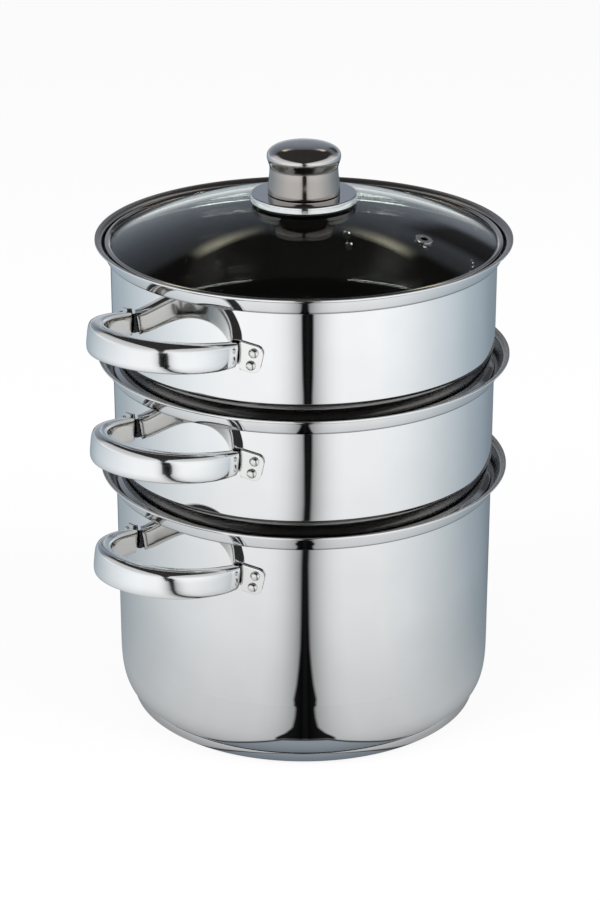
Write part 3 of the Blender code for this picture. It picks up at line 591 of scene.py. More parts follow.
# Brackets: a strip of steel plate at each end of a loop. Its tongue is pushed
# into the tube, it bends where it meets the wall, and its rounded sloping pad
# lies flat on the wall under two rivets.
PLATE_THICKNESS = 0.0012
PLATE_HALF_HEIGHT = 0.0071
PLATE_CORNER = 0.0040
PLATE_SLOPE = math.radians(12.5)
PLATE_MARGIN = 0.0048
PLATE_RADIUS = WALL_RADIUS + PAD_GAP + PLATE_THICKNESS / 2
BEND_RADIUS = 0.0016
BEND_LEAD = 3 * BEND_RADIUS
TONGUE_DEPTH = 0.0085
TONGUE_HALF_HEIGHT = 0.0050
RIVET_OFFSET = 0.0076
RIVET_ANGLE = math.asin((LOOP_HALF_WIDTH + RIVET_OFFSET) / WALL_RADIUS)
PAD_COLUMNS = 22
PAD_ROWS = 16

bracket_steel = steel_finish("bracket_steel", (0.88, 0.885, 0.87), 0.14, 0.05, 700.0)
# One whole face of each plate is near black: painted shade for the dark gap against the wall and inside
# the tube.
plate_painted_shade = steel_finish("plate_painted_shade", (0.05, 0.05, 0.055), 0.30, 0.05, 700.0)

bend_x = math.sqrt(PLATE_RADIUS ** 2 - LOOP_HALF_WIDTH ** 2)
bend_along = LOOP_HALF_WIDTH * math.cos(RIVET_ANGLE) - bend_x * math.sin(RIVET_ANGLE)


def on_wall(along):
    """Place on the wall at one distance along the pad from its rivets."""
    angle = RIVET_ANGLE + math.asin(along / PLATE_RADIUS)
    return PLATE_RADIUS * math.cos(angle), PLATE_RADIUS * math.sin(angle)


def tongue_path():
    """Plan of the tongue and of its bend towards the wall."""
    ahead = on_wall(bend_along + BEND_LEAD)
    path = rounded([(LOOP_ROOT + TONGUE_DEPTH, LOOP_HALF_WIDTH, 0),
                    (bend_x, LOOP_HALF_WIDTH, BEND_RADIUS), (*ahead, 0)])
    return path[:-1]


def pad_place(column, row):
    """Place on the pad for shares of its length and height, with rounded ends."""
    height = (2 * row - 1) * PLATE_HALF_HEIGHT
    last_tongue = tongue_path()[-1]
    start = last_tongue[1] * math.cos(RIVET_ANGLE) - last_tongue[0] * math.sin(RIVET_ANGLE)
    start = (start - height * math.sin(PLATE_SLOPE)) / math.cos(PLATE_SLOPE)
    length = start + (PLATE_MARGIN - start) * column
    inset = max(length - (PLATE_MARGIN - PLATE_CORNER), 0)
    half = PLATE_HALF_HEIGHT - PLATE_CORNER + math.sqrt(max(PLATE_CORNER ** 2 - inset ** 2, 0))
    height = (2 * row - 1) * half
    along = length * math.cos(PLATE_SLOPE) + height * math.sin(PLATE_SLOPE)
    up = height * math.cos(PLATE_SLOPE) - length * math.sin(PLATE_SLOPE)
    return Vector((*on_wall(along), up))


def press_bracket():
    """Shape a grid into the tongue, bend and pad of the bracket on the +Y side."""
    tongue = tongue_path()
    columns = len(tongue) + PAD_COLUMNS
    bpy.ops.object.select_all(action="DESELECT")
    bpy.ops.mesh.primitive_grid_add(x_subdivisions=columns - 1, y_subdivisions=PAD_ROWS, size=1)
    bracket = bpy.context.object
    for vertex in bracket.data.vertices:
        column = round((vertex.co.x + 0.5) * (columns - 1))
        row = vertex.co.y + 0.5
        if column < len(tongue):
            x, y = tongue[column]
            middle = LOOP_ROOT_HEIGHT + (x - LOOP_ROOT) * math.tan(LOOP_TILT)
            half = TONGUE_HALF_HEIGHT / math.cos(LOOP_TILT)
            vertex.co = (x, y, middle + (2 * row - 1) * half)
        else:
            share = (column - len(tongue) + 1) / PAD_COLUMNS
            vertex.co = pad_place(math.sin(math.pi / 2 * share), row)
    # The plate's second face, made by the thickening, takes the near-black painted shade.
    coat(bracket, bracket_steel, plate_painted_shade)
    apply_modifier(bracket, "SOLIDIFY", thickness=PLATE_THICKNESS, offset=0, use_even_offset=True,
                   material_offset=1)
    ease_edges(bracket, EDGE_ROUND, segments=2)
    bpy.ops.object.mode_set(mode="EDIT")
    bpy.ops.mesh.select_all(action="SELECT")
    bpy.ops.mesh.normals_make_consistent(inside=False)
    bpy.ops.object.mode_set(mode="OBJECT")
    return bracket


bracket_model = press_bracket()
mirrored = Matrix.Scale(-1, 4, (0, 1, 0))
for tier, hand, stand in stands():
    for end in ("front", "back"):
        plain = (end == "back") == (hand == "right")
        place = stand if plain else stand @ mirrored
        bracket = place_copy(bracket_model, f"{tier}_{hand}_plate_{end}", place)
        if not plain:
            bracket.data.flip_normals()
        settle(bracket, tier, "bracket_steel", f"{tier}_{hand}_bracket_{end}")
bpy.data.objects.remove(bracket_model, do_unlink=True)

# Rivets: two through each pad, with a buffed domed head outside and a flat
# tail closed over inside the wall.
HEAD_RADIUS = 0.0025
HEAD_HEIGHT = 0.0016
HEAD_EDGE = 0.0003
HEAD_STEPS = 10
SHANK_RADIUS = 0.0015
TAIL_RADIUS = 0.0024
TAIL_HEIGHT = 0.0008
TAIL_FACE_SHARE = 0.85
TAIL_SIDE_SHARE = 0.6
RIVET_PITCH = 0.0066
RIVET_SIDES = 40
PLATE_FACE = PLATE_RADIUS + PLATE_THICKNESS / 2

rivet_steel = steel_finish("rivet_steel", (0.82, 0.82, 0.81), 0.12, 0.04, 2500.0)

tail_top = WALL_RADIUS - SHEET - PLATE_FACE
rivet_outline = []
for index in range(1, HEAD_STEPS + 1):
    angle = math.pi / 2 * index / HEAD_STEPS
    rivet_outline.append((HEAD_RADIUS * math.sin(angle),
                          HEAD_EDGE + (HEAD_HEIGHT - HEAD_EDGE) * math.cos(angle)))
rivet_outline += [(HEAD_RADIUS, 0), (SHANK_RADIUS, 0), (SHANK_RADIUS, tail_top), (TAIL_RADIUS, tail_top),
                  (TAIL_RADIUS, tail_top - TAIL_HEIGHT * TAIL_SIDE_SHARE),
                  (TAIL_RADIUS * TAIL_FACE_SHARE, tail_top - TAIL_HEIGHT), (0, tail_top - TAIL_HEIGHT)]
rivet_outline.insert(0, (0, rivet_outline[0][1]))
rivet_model = turn("rivet_model", rivet_outline, RIVET_SIDES)
coat(rivet_model, rivet_steel)
for tier, hand, stand in stands():
    for end in ("front", "back"):
        side = 1 if (end == "back") == (hand == "right") else -1
        facing = Matrix.Rotation(side * RIVET_ANGLE, 4, "Z") @ Matrix.Translation((PLATE_FACE, 0, 0))
        for row, sign in (("lower", -1), ("upper", 1)):
            offset = sign * RIVET_PITCH / 2
            slide = Matrix.Translation((0, side * offset * math.sin(PLATE_SLOPE),
                                        offset * math.cos(PLATE_SLOPE)))
            spot = stand @ facing @ slide @ Matrix.Rotation(math.pi / 2, 4, "Y")
            rivet = place_copy(rivet_model, f"{tier}_{hand}_stud_{end}_{row}", spot)
            settle(rivet, tier, "rivet_steel", f"{tier}_{hand}_rivet_{end}_{row}")
bpy.data.objects.remove(rivet_model, do_unlink=True)

# Lid glass: a shallow tempered dome with a hole in the middle for the knob's
# screw and one near the edge for the steam vent.
GLASS_THICKNESS = 0.0035
GLASS_RADIUS = 0.1009
DOME_RISE = 0.0222
KNOB_HOLE_RADIUS = 0.0040
GLASS_STEPS = 48
GLASS_ROUND = 0.0006
BAND_SHEET = 0.0007
DOME_RADIUS = (GLASS_RADIUS ** 2 + DOME_RISE ** 2) / (2 * DOME_RISE)
EDGE_ANGLE = math.asin(GLASS_RADIUS / DOME_RADIUS)
EDGE_HEIGHT = BAND_SHEET + PAD_GAP + GLASS_THICKNESS * math.cos(EDGE_ANGLE)
APEX_HEIGHT = EDGE_HEIGHT + DOME_RISE
VENT_DISTANCE = 0.0705
VENT_AZIMUTH = math.radians(-82)
VENT_SLEEVE_RADIUS = 0.0030
VENT_PEG_DEPTH = 4 * GLASS_THICKNESS
SMEAR_SCALE = 30.0
SMEAR_DETAIL = 4.0
GLASS_ROUGHNESS = 0.004
SMEAR_SPREAD = 0.012

lid_glass, glass_shader, glass_start = blank_finish("lid_glass_finish", {
    "Base Color": (0.90, 0.96, 0.935, 1), "Transmission Weight": 1.0, "IOR": 1.5, "Metallic": 0.0})
smear = noise(glass_start, SMEAR_SCALE, SMEAR_DETAIL)
(GLASS_ROUGHNESS + SMEAR_SPREAD * smear).feed(glass_shader, "Roughness")


def dome_height(radius):
    """Height of the outer side of the glass above the lid's seat."""
    return APEX_HEIGHT - DOME_RADIUS + math.sqrt(DOME_RADIUS ** 2 - radius ** 2)


def dome_arc(radius, low, high):
    """Arc of a dome about the glass's centre, between two angles from the axis."""
    centre = APEX_HEIGHT - DOME_RADIUS
    points = []
    for index in range(GLASS_STEPS + 1):
        angle = low + (high - low) * index / GLASS_STEPS
        points.append((radius * math.sin(angle), centre + radius * math.cos(angle)))
    return points


hole_angle = math.asin(KNOB_HOLE_RADIUS / DOME_RADIUS)
glass_outline = dome_arc(DOME_RADIUS, hole_angle, EDGE_ANGLE)
glass_outline += dome_arc(DOME_RADIUS - GLASS_THICKNESS, EDGE_ANGLE, hole_angle)
glass_outline.append(glass_outline[0])
glass = turn("lid_dome", glass_outline)
coat(glass, lid_glass)
vent_spot = Matrix.Rotation(VENT_AZIMUTH, 4, "Z")
vent_spot = vent_spot @ Matrix.Translation((VENT_DISTANCE, 0, dome_height(VENT_DISTANCE)))
vent_spot = vent_spot @ Matrix.Rotation(math.asin(VENT_DISTANCE / DOME_RADIUS), 4, "Y")
bpy.ops.mesh.primitive_cylinder_add(vertices=RIVET_SIDES, radius=VENT_SLEEVE_RADIUS + PAD_GAP,
                                    depth=VENT_PEG_DEPTH)
vent_peg = bpy.context.object
vent_peg.matrix_world = vent_spot
bpy.context.view_layer.update()
cut(glass, vent_peg)
ease_edges(glass, GLASS_ROUND)
lift(glass, LID_SEAT)
settle(glass, "lid", "lid_glass", "lid_glass")

# Lid band: steel strip folded over the edge of the glass, resting on the rim
# and running down inside it as a skirt that centres the lid.
BAND_TOP_RADIUS = 0.1030
BAND_SEAT_RADIUS = 0.1010
BAND_LIP_WIDTH = 0.0024
BAND_SKIRT_RADIUS = 0.0984
BAND_SKIRT_DEPTH = 0.0075
BAND_ROUND = 0.0005
BAND_CROWN = 0.0008
BAND_CROWN_ROUND = 0.0007
BAND_EDGE = 0.8 * EDGE_ROUND

band_steel = steel_finish("band_steel", (0.80, 0.77, 0.735), 0.07, 0.03, 1200.0)
lip_inner = BAND_TOP_RADIUS - BAND_SHEET - BAND_LIP_WIDTH
band_top = dome_height(lip_inner) + PAD_GAP + BAND_SHEET
band = turn("lid_band", rounded([
    (lip_inner, band_top, 0), (lip_inner + BAND_LIP_WIDTH / 2, band_top + BAND_CROWN, BAND_CROWN_ROUND),
    (BAND_TOP_RADIUS, band_top + BAND_CROWN / 2, BAND_CROWN_ROUND),
    (BAND_SEAT_RADIUS, 0, BAND_ROUND), (BAND_SKIRT_RADIUS, 0, BAND_ROUND),
    (BAND_SKIRT_RADIUS, -BAND_SKIRT_DEPTH, 0)]))
coat(band, band_steel)
thicken(band, BAND_SHEET)
ease_edges(band, BAND_EDGE)
lift(band, LID_SEAT)
settle(band, "lid", "mirror_steel", "lid_rim_band")

# Vent eyelet: a short tube of stainless steel, pushed through the hole in the
# glass and rolled over into a flange on each side, that lets the steam out.
VENT_FLANGE_RADIUS = 0.0044
VENT_BORE_RADIUS = 0.0020
VENT_FLANGE_THICKNESS = 0.0009
VENT_ROUND = 0.0003
SMALL_STEPS = 4

under_glass = -GLASS_THICKNESS - PAD_GAP
eyelet_outline = rounded([
    (VENT_SLEEVE_RADIUS, under_glass, 0), (VENT_SLEEVE_RADIUS, 0, 0), (VENT_FLANGE_RADIUS, 0, 0),
    (VENT_FLANGE_RADIUS, VENT_FLANGE_THICKNESS, VENT_ROUND),
    (VENT_BORE_RADIUS, VENT_FLANGE_THICKNESS, VENT_ROUND),
    (VENT_BORE_RADIUS, under_glass - VENT_FLANGE_THICKNESS, VENT_ROUND),
    (VENT_FLANGE_RADIUS, under_glass - VENT_FLANGE_THICKNESS, VENT_ROUND),
    (VENT_FLANGE_RADIUS, under_glass, 0), (VENT_SLEEVE_RADIUS, under_glass, 0)], SMALL_STEPS)
vent_steel = steel_finish("vent_steel", (0.72, 0.72, 0.71), 0.10, 0.04, 2500.0)
eyelet_model = turn("eyelet_model", eyelet_outline, RIVET_SIDES)
coat(eyelet_model, vent_steel)
eyelet = place_copy(eyelet_model, "vent_ring", Matrix.Translation((0, 0, LID_SEAT)) @ vent_spot)
settle(eyelet, "lid", "mirror_steel", "vent_eyelet")
bpy.data.objects.remove(eyelet_model, do_unlink=True)

# Knob seat: a black silicone gasket moulded to the dome, with the polished
# steel flange on top, its rim turned down round the gasket and a raised collar.
GASKET_RADIUS = 0.0262
GASKET_CROWN = 0.0008
GASKET_ROUND = 0.0005
FLANGE_RADIUS = 0.0275
FLANGE_THICKNESS = 0.0024
FLANGE_ROUND = 0.0009
FLANGE_TURNDOWN = 0.0009
FLANGE_HEM = 0.0008
COLLAR_RADIUS = 0.0167
COLLAR_HEIGHT = 0.0022
COLLAR_ROUND = 0.0004
SCREW_HOLE_RADIUS = 0.0028
GASKET_STEPS = 8
GASKET_SIDES = 96
KNOB_SIDES = 128
GRAIN_DETAIL = 2.0
GRAIN_LOW = 0.3
GRAIN_HIGH = 0.7


def black_finish(name, sockets, fineness, tones, roughness, spread):
    """Dull black whose tone and gloss vary in a fine grain."""
    material, shader, start = blank_finish(name, sockets)
    grain = noise(start, fineness, GRAIN_DETAIL)
    grain.ramp([(GRAIN_LOW, tones[0]), (GRAIN_HIGH, tones[1])]).feed(shader, "Base Color")
    (roughness + spread * grain).feed(shader, "Roughness")
    return material


black_silicone = black_finish("black_silicone", {"Specular IOR Level": 0.4}, 2500.0, (0.008, 0.016),
                              0.42, 0.15)

gasket_top = APEX_HEIGHT + GASKET_CROWN
gasket_outline = [(SCREW_HOLE_RADIUS, gasket_top), *rounded([
    (SCREW_HOLE_RADIUS, gasket_top, 0), (GASKET_RADIUS, gasket_top, GASKET_ROUND),
    (GASKET_RADIUS, dome_height(GASKET_RADIUS), 0)])[1:]]
for index in range(1, GASKET_STEPS + 1):
    radius = GASKET_RADIUS + (SCREW_HOLE_RADIUS - GASKET_RADIUS) * index / GASKET_STEPS
    gasket_outline.append((radius, dome_height(radius)))
gasket_outline.append(gasket_outline[0])
gasket = turn("knob_seal_pad", gasket_outline, GASKET_SIDES)
coat(gasket, black_silicone)
lift(gasket, LID_SEAT)
settle(gasket, "lid", "black_silicone", "knob_gasket")

flange_top = gasket_top + PAD_GAP + FLANGE_THICKNESS
hem_level = gasket_top - FLANGE_TURNDOWN
collar_top = flange_top + COLLAR_HEIGHT
flange_outline = rounded([
    (SCREW_HOLE_RADIUS, collar_top, 0), (COLLAR_RADIUS, collar_top, COLLAR_ROUND),
    (COLLAR_RADIUS, flange_top, COLLAR_ROUND), (FLANGE_RADIUS, flange_top, FLANGE_ROUND),
    (FLANGE_RADIUS, hem_level, 0), (FLANGE_RADIUS - FLANGE_HEM, hem_level, 0),
    (FLANGE_RADIUS - FLANGE_HEM, gasket_top, 0), (SCREW_HOLE_RADIUS, gasket_top, 0),
    (SCREW_HOLE_RADIUS, collar_top, 0)])
flange = turn("knob_plate", flange_outline, KNOB_SIDES)
coat(flange, mirror_steel)
lift(flange, LID_SEAT)
settle(flange, "lid", "mirror_steel", "knob_flange")

# Knob: a pressed steel cap with a flared foot that hides the collar, a waist, a
# wide bulge and a low crown, filled by a moulded core that takes the screw.
KNOB_SHEET = 0.0008
WAIST_RADIUS = 0.0176
WAIST_HEIGHT = 0.0130
FOOT_RADIUS = 0.0187
BULGE_RADIUS = 0.0190
BULGE_HEIGHT = 0.0190
KNOB_HEIGHT = 0.0259
CROWN_POWER = 2.4
CROWN_STEPS = 22
WAIST_STEPS = 14
KNOB_EDGE = 0.8 * EDGE_ROUND
# The cap's colour is painted darker and browner from just above the bulge downwards: painted shade under
# the bulge.
KNOB_PAINTED_SHADE = [(-0.010, (0.50, 0.475, 0.455)), (-0.002, (0.62, 0.595, 0.57)),
              (0.0015, (0.92, 0.92, 0.92))]


def soft_step(low_radius, high_radius, low, high):
    """Points of a smooth step from one radius to another between two heights."""
    points = []
    for index in range(WAIST_STEPS + 1):
        blend = (1 - math.cos(math.pi * index / WAIST_STEPS)) / 2
        points.append((low_radius + (high_radius - low_radius) * blend,
                       low + (high - low) * index / WAIST_STEPS))
    return points


knob_foot = flange_top + PAD_GAP
bulge_level = LID_SEAT + knob_foot + BULGE_HEIGHT
knob_steel = steel_finish("knob_steel", (0.88, 0.87, 0.86), 0.12, 0.04, 260.0, upright=True,
                          shade_zones=[(bulge_level + rise, tone) for rise, tone in KNOB_PAINTED_SHADE])
knob_outline = soft_step(FOOT_RADIUS, WAIST_RADIUS, 0, WAIST_HEIGHT)
knob_outline += soft_step(WAIST_RADIUS, BULGE_RADIUS, WAIST_HEIGHT, BULGE_HEIGHT)[1:]
for index in range(1, CROWN_STEPS):
    across, up = oval(math.pi / 2 * index / CROWN_STEPS, BULGE_RADIUS,
                      KNOB_HEIGHT - BULGE_HEIGHT, CROWN_POWER)
    knob_outline.append((across, BULGE_HEIGHT + up))
knob_outline.append((0, KNOB_HEIGHT))
knob_outline = [(radius, knob_foot + height) for radius, height in knob_outline]
knob = turn("knob_cap", knob_outline, KNOB_SIDES)
coat(knob, knob_steel)
thicken(knob, KNOB_SHEET)
ease_edges(knob, KNOB_EDGE)
lift(knob, LID_SEAT)
settle(knob, "lid", "mirror_steel", "knob_shell")

# Fastening under the lid: the core, screw, washer and seal that clamp the knob
# through the glass. The core is hidden in the cap.
SCREW_SHANK_RADIUS = 0.0025
SCREW_REACH = 0.0100
SCREW_HEAD_RADIUS = 0.0052
SCREW_HEAD_HEIGHT = 0.0024
SCREW_HEAD_ROUND = 0.0008
SLOT_LENGTH = 3 * SCREW_HEAD_RADIUS
SLOT_WIDTH = 0.0012
SLOT_DEPTH = 0.0012
WASHER_RADIUS = 0.0085
WASHER_THICKNESS = 0.0008
SEAL_RADIUS = 0.0078
SEAL_THICKNESS = 0.0010
SCREW_SIDES = 64
SCREW_STEPS = 5

screw_steel = steel_finish("screw_steel", (0.70, 0.70, 0.69), 0.22, 0.06, 1500.0)
black_plastic = black_finish("black_plastic", {"Metallic": 0.0}, 1800.0, (0.010, 0.020), 0.40, 0.10)
knob_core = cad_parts["knob_core"]
knob_core.data.materials.clear()
knob_core.data.materials.append(black_plastic)

seal_top = dome_height(SEAL_RADIUS) - GLASS_THICKNESS - PAD_GAP
washer_top = seal_top - SEAL_THICKNESS - PAD_GAP
head_top = washer_top - WASHER_THICKNESS - PAD_GAP
for name, node, slot, radius, top, thickness, finish in (
        ("glass_seal", "screw_seal", "black_silicone", SEAL_RADIUS, seal_top, SEAL_THICKNESS,
         black_silicone),
        ("broad_washer", "screw_washer", "screw_steel", WASHER_RADIUS, washer_top, WASHER_THICKNESS,
         screw_steel)):
    ring_round = thickness / 3
    ring = turn(name, rounded([
        (SCREW_HOLE_RADIUS, top, 0), (radius, top, ring_round), (radius, top - thickness, ring_round),
        (SCREW_HOLE_RADIUS, top - thickness, 0), (SCREW_HOLE_RADIUS, top, 0)], SMALL_STEPS), SCREW_SIDES)
    coat(ring, finish)
    lift(ring, LID_SEAT)
    settle(ring, "lid", slot, node)

head_foot = head_top - SCREW_HEAD_HEIGHT
screw_top = collar_top + PAD_GAP + SCREW_REACH
screw = turn("knob_bolt", [(0, screw_top)] + rounded([
    (SCREW_SHANK_RADIUS, screw_top, 0), (SCREW_SHANK_RADIUS, head_top, 0),
    (SCREW_HEAD_RADIUS, head_top, 0), (SCREW_HEAD_RADIUS, head_foot, SCREW_HEAD_ROUND),
    (SCREW_SHANK_RADIUS, head_foot, 0), (0, head_foot, 0)], SCREW_STEPS), SCREW_SIDES)
coat(screw, screw_steel)
bpy.ops.mesh.primitive_cube_add(size=1, location=(0, 0, head_foot),
                                scale=(SLOT_LENGTH, SLOT_WIDTH, 2 * SLOT_DEPTH))
slot_cutter = bpy.context.object
cut(screw, slot_cutter)
lift(screw, LID_SEAT)
settle(screw, "lid", "screw_steel", "knob_screw")

# Camera: a long lens in front and a little above, a touch to the side so that
# one handle of each pair comes forward.
IMAGE_HEIGHT = 900
FOCAL_PIXELS = 2531.85
SENSOR = 36
CAMERA_AZIMUTH = math.radians(-50.4)
CAMERA_ELEVATION = math.radians(22.15)
CAMERA_DISTANCE = 1.35193
TARGET_HEIGHT = 0.13747
CAMERA_SLIDE = -0.002

front = Vector((math.sin(CAMERA_AZIMUTH), -math.cos(CAMERA_AZIMUTH), 0))
beside = Vector((math.cos(CAMERA_AZIMUTH), math.sin(CAMERA_AZIMUTH), 0))
lens = bpy.data.cameras.new("long_lens")
lens.lens = FOCAL_PIXELS * SENSOR / IMAGE_HEIGHT
lens.sensor_width = SENSOR
camera = bpy.data.objects.new("camera", lens)
bpy.context.collection.objects.link(camera)
sight = front * math.cos(CAMERA_ELEVATION) + Vector((0, 0, math.sin(CAMERA_ELEVATION)))
camera.location = Vector((0, 0, TARGET_HEIGHT)) + beside * CAMERA_SLIDE + sight * CAMERA_DISTANCE
camera.rotation_euler = sight.to_track_quat("Z", "Y").to_euler()
bpy.context.scene.camera = camera

# Studio: a pale floor that keeps a soft shadow, a white surround, and the dark
# ceiling, grey backdrop and side panels that the polished steel mirrors.
FLOOR_SIZE = 60
FLOOR_LEVEL = -0.0008
CARD_LEVEL = -0.0004
CARD_RADIUS = 20
CARD_SIDES = 64
FLOOR_GLOW = 0.88
FLOOR_TONE = (0.92, 0.92, 0.92, 1)
WHITE = (1, 1, 1, 1)


def stage_finish(name):
    """Empty shader tree for a piece of the studio."""
    material = bpy.data.materials.new(name)
    material.use_nodes = True
    material.node_tree.nodes.clear()
    return material, Shade(material.node_tree)


floor_white, start = stage_finish("floor_white")
rays = start.node("ShaderNodeLightPath", output="Is Camera Ray")
seen = rays.maths("MAXIMUM", rays, rays.part("Is Glossy Ray"))
seen = seen.maths("MAXIMUM", seen, rays.part("Is Transmission Ray"))
matt = start.node("ShaderNodeBsdfDiffuse", sockets={"Color": FLOOR_TONE})
glow = start.node("ShaderNodeEmission", sockets={"Color": WHITE, "Strength": 1.0})
both = start.node("ShaderNodeMixShader", sockets={0: seen * FLOOR_GLOW, 1: matt, 2: glow})
start.node("ShaderNodeOutputMaterial", sockets={"Surface": both})
bpy.ops.mesh.primitive_plane_add(size=FLOOR_SIZE, location=(0, 0, FLOOR_LEVEL))
floor = bpy.context.object
floor.name = "studio_floor"
floor.data.materials.append(floor_white)

# The mirrored card: its tone goes round from the viewer in degrees, and its dark
# strip, its shift and its edges go out from the pot in metres.
BEARING_STOPS = [(0, 0.45), (1.0, 0.40), (1.2, 0.16), (2.2, 0.26), (3.5, 0.41), (5.5, 0.55), (8, 0.69),
                 (11, 0.82), (15, 0.92), (20, (0.97, 0.975, 0.98)), (40, (0.97, 0.975, 0.98)),
                 (54, (0.885, 0.91, 0.925)), (70, (0.735, 0.77, 0.79)), (88, (0.57, 0.625, 0.66)),
                 (105, (0.42, 0.48, 0.525)), (120, (0.34, 0.40, 0.45)), (136, (0.25, 0.30, 0.345)),
                 (152, (0.215, 0.26, 0.30)), (166, (0.23, 0.27, 0.31)), (180, (0.34, 0.38, 0.42))]
STRIP_STOPS = [(0.118, 10.0), (0.124, 7.2), (0.136, 4.4), (0.145, 4.0), (0.154, 3.6), (0.164, 3.3),
               (0.179, 4.4), (0.196, 3.2), (0.217, 2.3), (0.24, 1.6), (0.27, 1.3), (0.35, 1.0),
               (0.45, 1.0), (0.54, 1.5), (0.64, 1.7), (0.68, 2.2), (0.76, 2.5), (0.86, 2.6), (0.97, 6.0)]
STRIP_BLUR = 1.3
STRIP_GLEAM = 0.02
SHIFT_STOPS = [(0.20, 0.57), (0.35, 0.60), (0.40, 1.2), (0.447, 1.96), (0.52, 2.22), (0.65, 2.10),
               (0.80, 1.96)]
# The card is painted darker towards the pot, down to a third of its strength: painted shadow of the pot
# on the floor as the steel mirrors it.
PAINTED_SHADOW_STOPS = [(0.094, 0.34), (0.10, 0.42), (0.105, 0.48), (0.112, 0.53), (0.12, 0.57), (0.137, 0.60),
                  (0.151, 0.62), (0.172, 0.645), (0.192, 0.67), (0.213, 0.70), (0.25, 0.76), (0.36, 0.83),
                  (0.55, 0.93), (0.80, 1.0)]
NEARNESS_FULL = 1.04
LEFT_EASE = 0.22
LEFT_START = math.radians(20)
# Round the pot's foot the card is painted with a near-black line and a grey-blue band inside it: painted
# contact shadow of the pot as the steel mirrors it.
EDGE_STOPS = [(0, 0.1145), (8, 0.1145), (14, 0.109), (28, 0.0975), (45, 0.088), (180, 0.06)]
EDGE_SPAN = 0.018
BELOW_STOPS = [(0.5, 1.0), (0.56, 0.35), (0.64, 0.0)]
BELOW_TONES = [(0.36, (0.49, 0.55, 0.62)), (0.46, (0.05, 0.055, 0.06))]
BEHIND_STOPS = [(0.18, 134), (0.25, 142), (0.334, 148.7), (0.45, 153), (0.573, 155.8), (0.72, 157.8)]
BEHIND_WIDTH = 14
BEHIND_TONES = [(0, 1.0), (0.3, 0.40), (0.75, 0.40), (1, 1.0)]


def in_radians(stops):
    """Ramp stops whose values are given in degrees."""
    return [(spot, math.radians(angle)) for spot, angle in stops]


def by_half_turn(stops):
    """Ramp stops whose places are given in degrees of half a turn."""
    return [(angle / 180, value) for angle, value in stops]


def ways(start, place):
    """How far a place or a direction lies to the side and to the front."""
    return [start.node("ShaderNodeVectorMath", {"operation": "DOT_PRODUCT"}, {0: place, 1: axis}, "Value")
            for axis in (beside, front)]


sweep_tone, start = stage_finish("sweep_tone")
spot = start.node("ShaderNodeTexCoord", output="Object")
side_way, front_way = ways(start, spot)
away = start.node("ShaderNodeVectorMath", {"operation": "LENGTH"}, {0: spot}, "Value")
swing = side_way.maths("ARCTAN2", side_way, front_way) - away.ramp(in_radians(SHIFT_STOPS))
bearing = abs(swing)
past_start = bearing.maths("MAXIMUM", bearing - LEFT_START, 0)
far_left = past_start * (swing.maths("SIGN", swing) - 1)
turned_by = (bearing + LEFT_EASE / 2 * far_left) / math.pi
tone = turned_by.ramp(by_half_turn(BEARING_STOPS))
past_strip = (bearing - away.ramp(in_radians(STRIP_STOPS))) / math.radians(STRIP_BLUR)
past_strip = past_strip.ramp([(0, STRIP_GLEAM), (1, 1.0)])
# Painted contact shadow round the pot's foot.
past_edge = (away - (bearing / math.pi).ramp(by_half_turn(EDGE_STOPS))) / EDGE_SPAN + 0.5
below = past_edge.ramp(BELOW_STOPS)
tone = below.mix(tone, past_edge.ramp(BELOW_TONES))
# Painted shadow of the pot: the card darker towards it.
strength = NEARNESS_FULL * away.ramp(PAINTED_SHADOW_STOPS) * past_strip.maths("MAXIMUM", past_strip, below)
behind = (bearing - away.ramp(in_radians(BEHIND_STOPS))) / math.radians(BEHIND_WIDTH)
strength = strength * behind.ramp(BEHIND_TONES)
glow = start.node("ShaderNodeEmission", sockets={"Color": tone, "Strength": strength})
start.node("ShaderNodeOutputMaterial", sockets={"Surface": glow})
bpy.ops.mesh.primitive_circle_add(vertices=CARD_SIDES, radius=CARD_RADIUS, fill_type="NGON",
                                  location=(0, 0, CARD_LEVEL))
sweep = bpy.context.object
sweep.name = "sweep_card"
sweep.data.materials.append(sweep_tone)
for flag in ("visible_camera", "visible_diffuse", "visible_transmission", "visible_shadow",
             "visible_volume_scatter"):
    setattr(sweep, flag, False)

# The mirrored room: its tones go up with the height of a direction, and round
# from the viewer as a share of half a turn.
CEILING = (0.028, 0.026, 0.025)
BACK_STOPS = [(0.03, (0.60, 0.62, 0.64)), (0.10, (0.30, 0.33, 0.37)), (0.36, (0.20, 0.22, 0.26)),
              (0.58, (0.12, 0.125, 0.14)), (0.62, CEILING)]
SIDE_STOPS = [(0.02, (0.92, 0.93, 0.94)), (0.12, (0.66, 0.66, 0.66)), (0.50, (0.56, 0.55, 0.54)),
              (0.66, (0.28, 0.28, 0.29)), (0.74, CEILING)]
SIDE_BEARINGS = [(0.60, 1.0), (0.72, 0.0)]
GAP_STOPS = [(0.0, 0.016), (0.20, 0.05), (0.30, 0.12), (0.42, 0.20), (0.50, 0.29), (0.58, 0.42),
             (0.66, 0.60), (0.74, 1.0)]
GAP_BLUR = 60
SHADE_LEVELS = [(0.22, 0.0), (0.28, 0.9), (0.42, 0.9), (0.48, 0.0)]
SHADE_BEARINGS = [(0.78, 0.0), (0.82, 1.0), (0.915, 1.0), (0.935, 0.0)]
GLEAM_LEVELS = [(0.565, 0.0), (0.605, 1.0), (0.622, 1.0), (0.634, 0.0)]
GLEAM_BEARINGS = [(0.885, 0.0), (0.906, 0.8), (0.92, 0.9), (0.945, 0.4), (0.968, 0.0)]
GLEAM_SLOPE = 0.86
GLEAM_MIDDLE = 0.92
GLEAM_TONE = (1.40, 1.30, 1.00, 1)
ROOM_FILL = 0.55

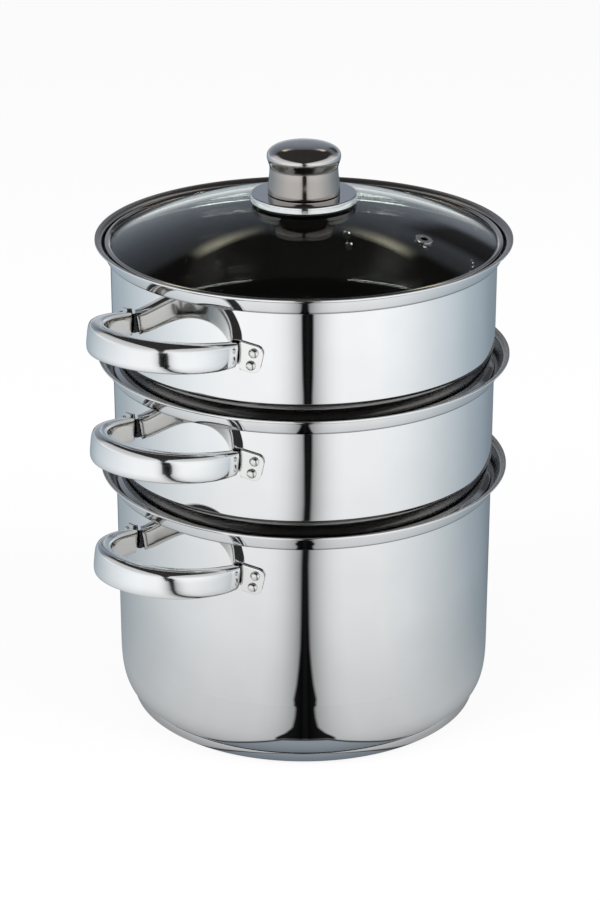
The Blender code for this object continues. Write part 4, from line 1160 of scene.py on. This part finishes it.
room = bpy.data.worlds.new("studio_room")
room.use_nodes = True
room.node_tree.nodes.clear()
bpy.context.scene.world = room
start = Shade(room.node_tree)
way = start.node("ShaderNodeTexCoord", output="Generated")
up_way = start.node("ShaderNodeSeparateXYZ", sockets={"Vector": way}, output="Z")
side_way, front_way = ways(start, way)
round_way = abs(side_way.maths("ARCTAN2", side_way, front_way)) / math.pi
room_tone = round_way.ramp(SIDE_BEARINGS).mix(up_way.ramp(BACK_STOPS), up_way.ramp(SIDE_STOPS))
gap_share = GAP_BLUR * (up_way.ramp(GAP_STOPS) - round_way) + 0.5
room_tone = gap_share.mix(room_tone, (*CEILING, 1))
to_right = side_way.maths("GREATER_THAN", side_way, 0)
shade_share = to_right * up_way.ramp(SHADE_LEVELS) * round_way.ramp(SHADE_BEARINGS)
room_tone = shade_share.mix(room_tone, (*CEILING, 1))
gleam_level = up_way + GLEAM_SLOPE * (round_way - GLEAM_MIDDLE)
gleam_share = gleam_level.ramp(GLEAM_LEVELS) * round_way.ramp(GLEAM_BEARINGS)
room_tone = gleam_share.mix(room_tone, GLEAM_TONE)
rays = start.node("ShaderNodeLightPath", output="Is Camera Ray")
mirrored_ray = rays.maths("MAXIMUM", rays.part("Is Glossy Ray"), rays.part("Is Transmission Ray"))
white = start.node("ShaderNodeBackground", sockets={"Color": WHITE, "Strength": 1.0})
studio = start.node("ShaderNodeBackground", sockets={"Color": room_tone, "Strength": 1.0})
fill = start.node("ShaderNodeBackground", sockets={"Color": WHITE, "Strength": ROOM_FILL})
mixed = start.node("ShaderNodeMixShader", sockets={0: mirrored_ray, 1: fill, 2: studio})
mixed = start.node("ShaderNodeMixShader", sockets={0: rays, 1: mixed, 2: white})
start.node("ShaderNodeOutputWorld", sockets={"Surface": mixed})

LAMPS = (("left_lamp", -1.3, 0.9, 1.5, 1.2, 26.0), ("right_lamp", 1.3, 0.7, 1.5, 1.2, 22.0))
for name, side, ahead, height, size, power in LAMPS:
    lamp = bpy.data.lights.new(name, "AREA")
    lamp.size = size
    lamp.energy = power
    holder = bpy.data.objects.new(name, lamp)
    holder.location = beside * side + front * ahead + Vector((0, 0, height))
    holder.rotation_euler = holder.location.to_track_quat("Z", "Y").to_euler()
    holder.visible_glossy = False
    bpy.context.collection.objects.link(holder)

bpy.context.scene.view_settings.view_transform = "Standard"
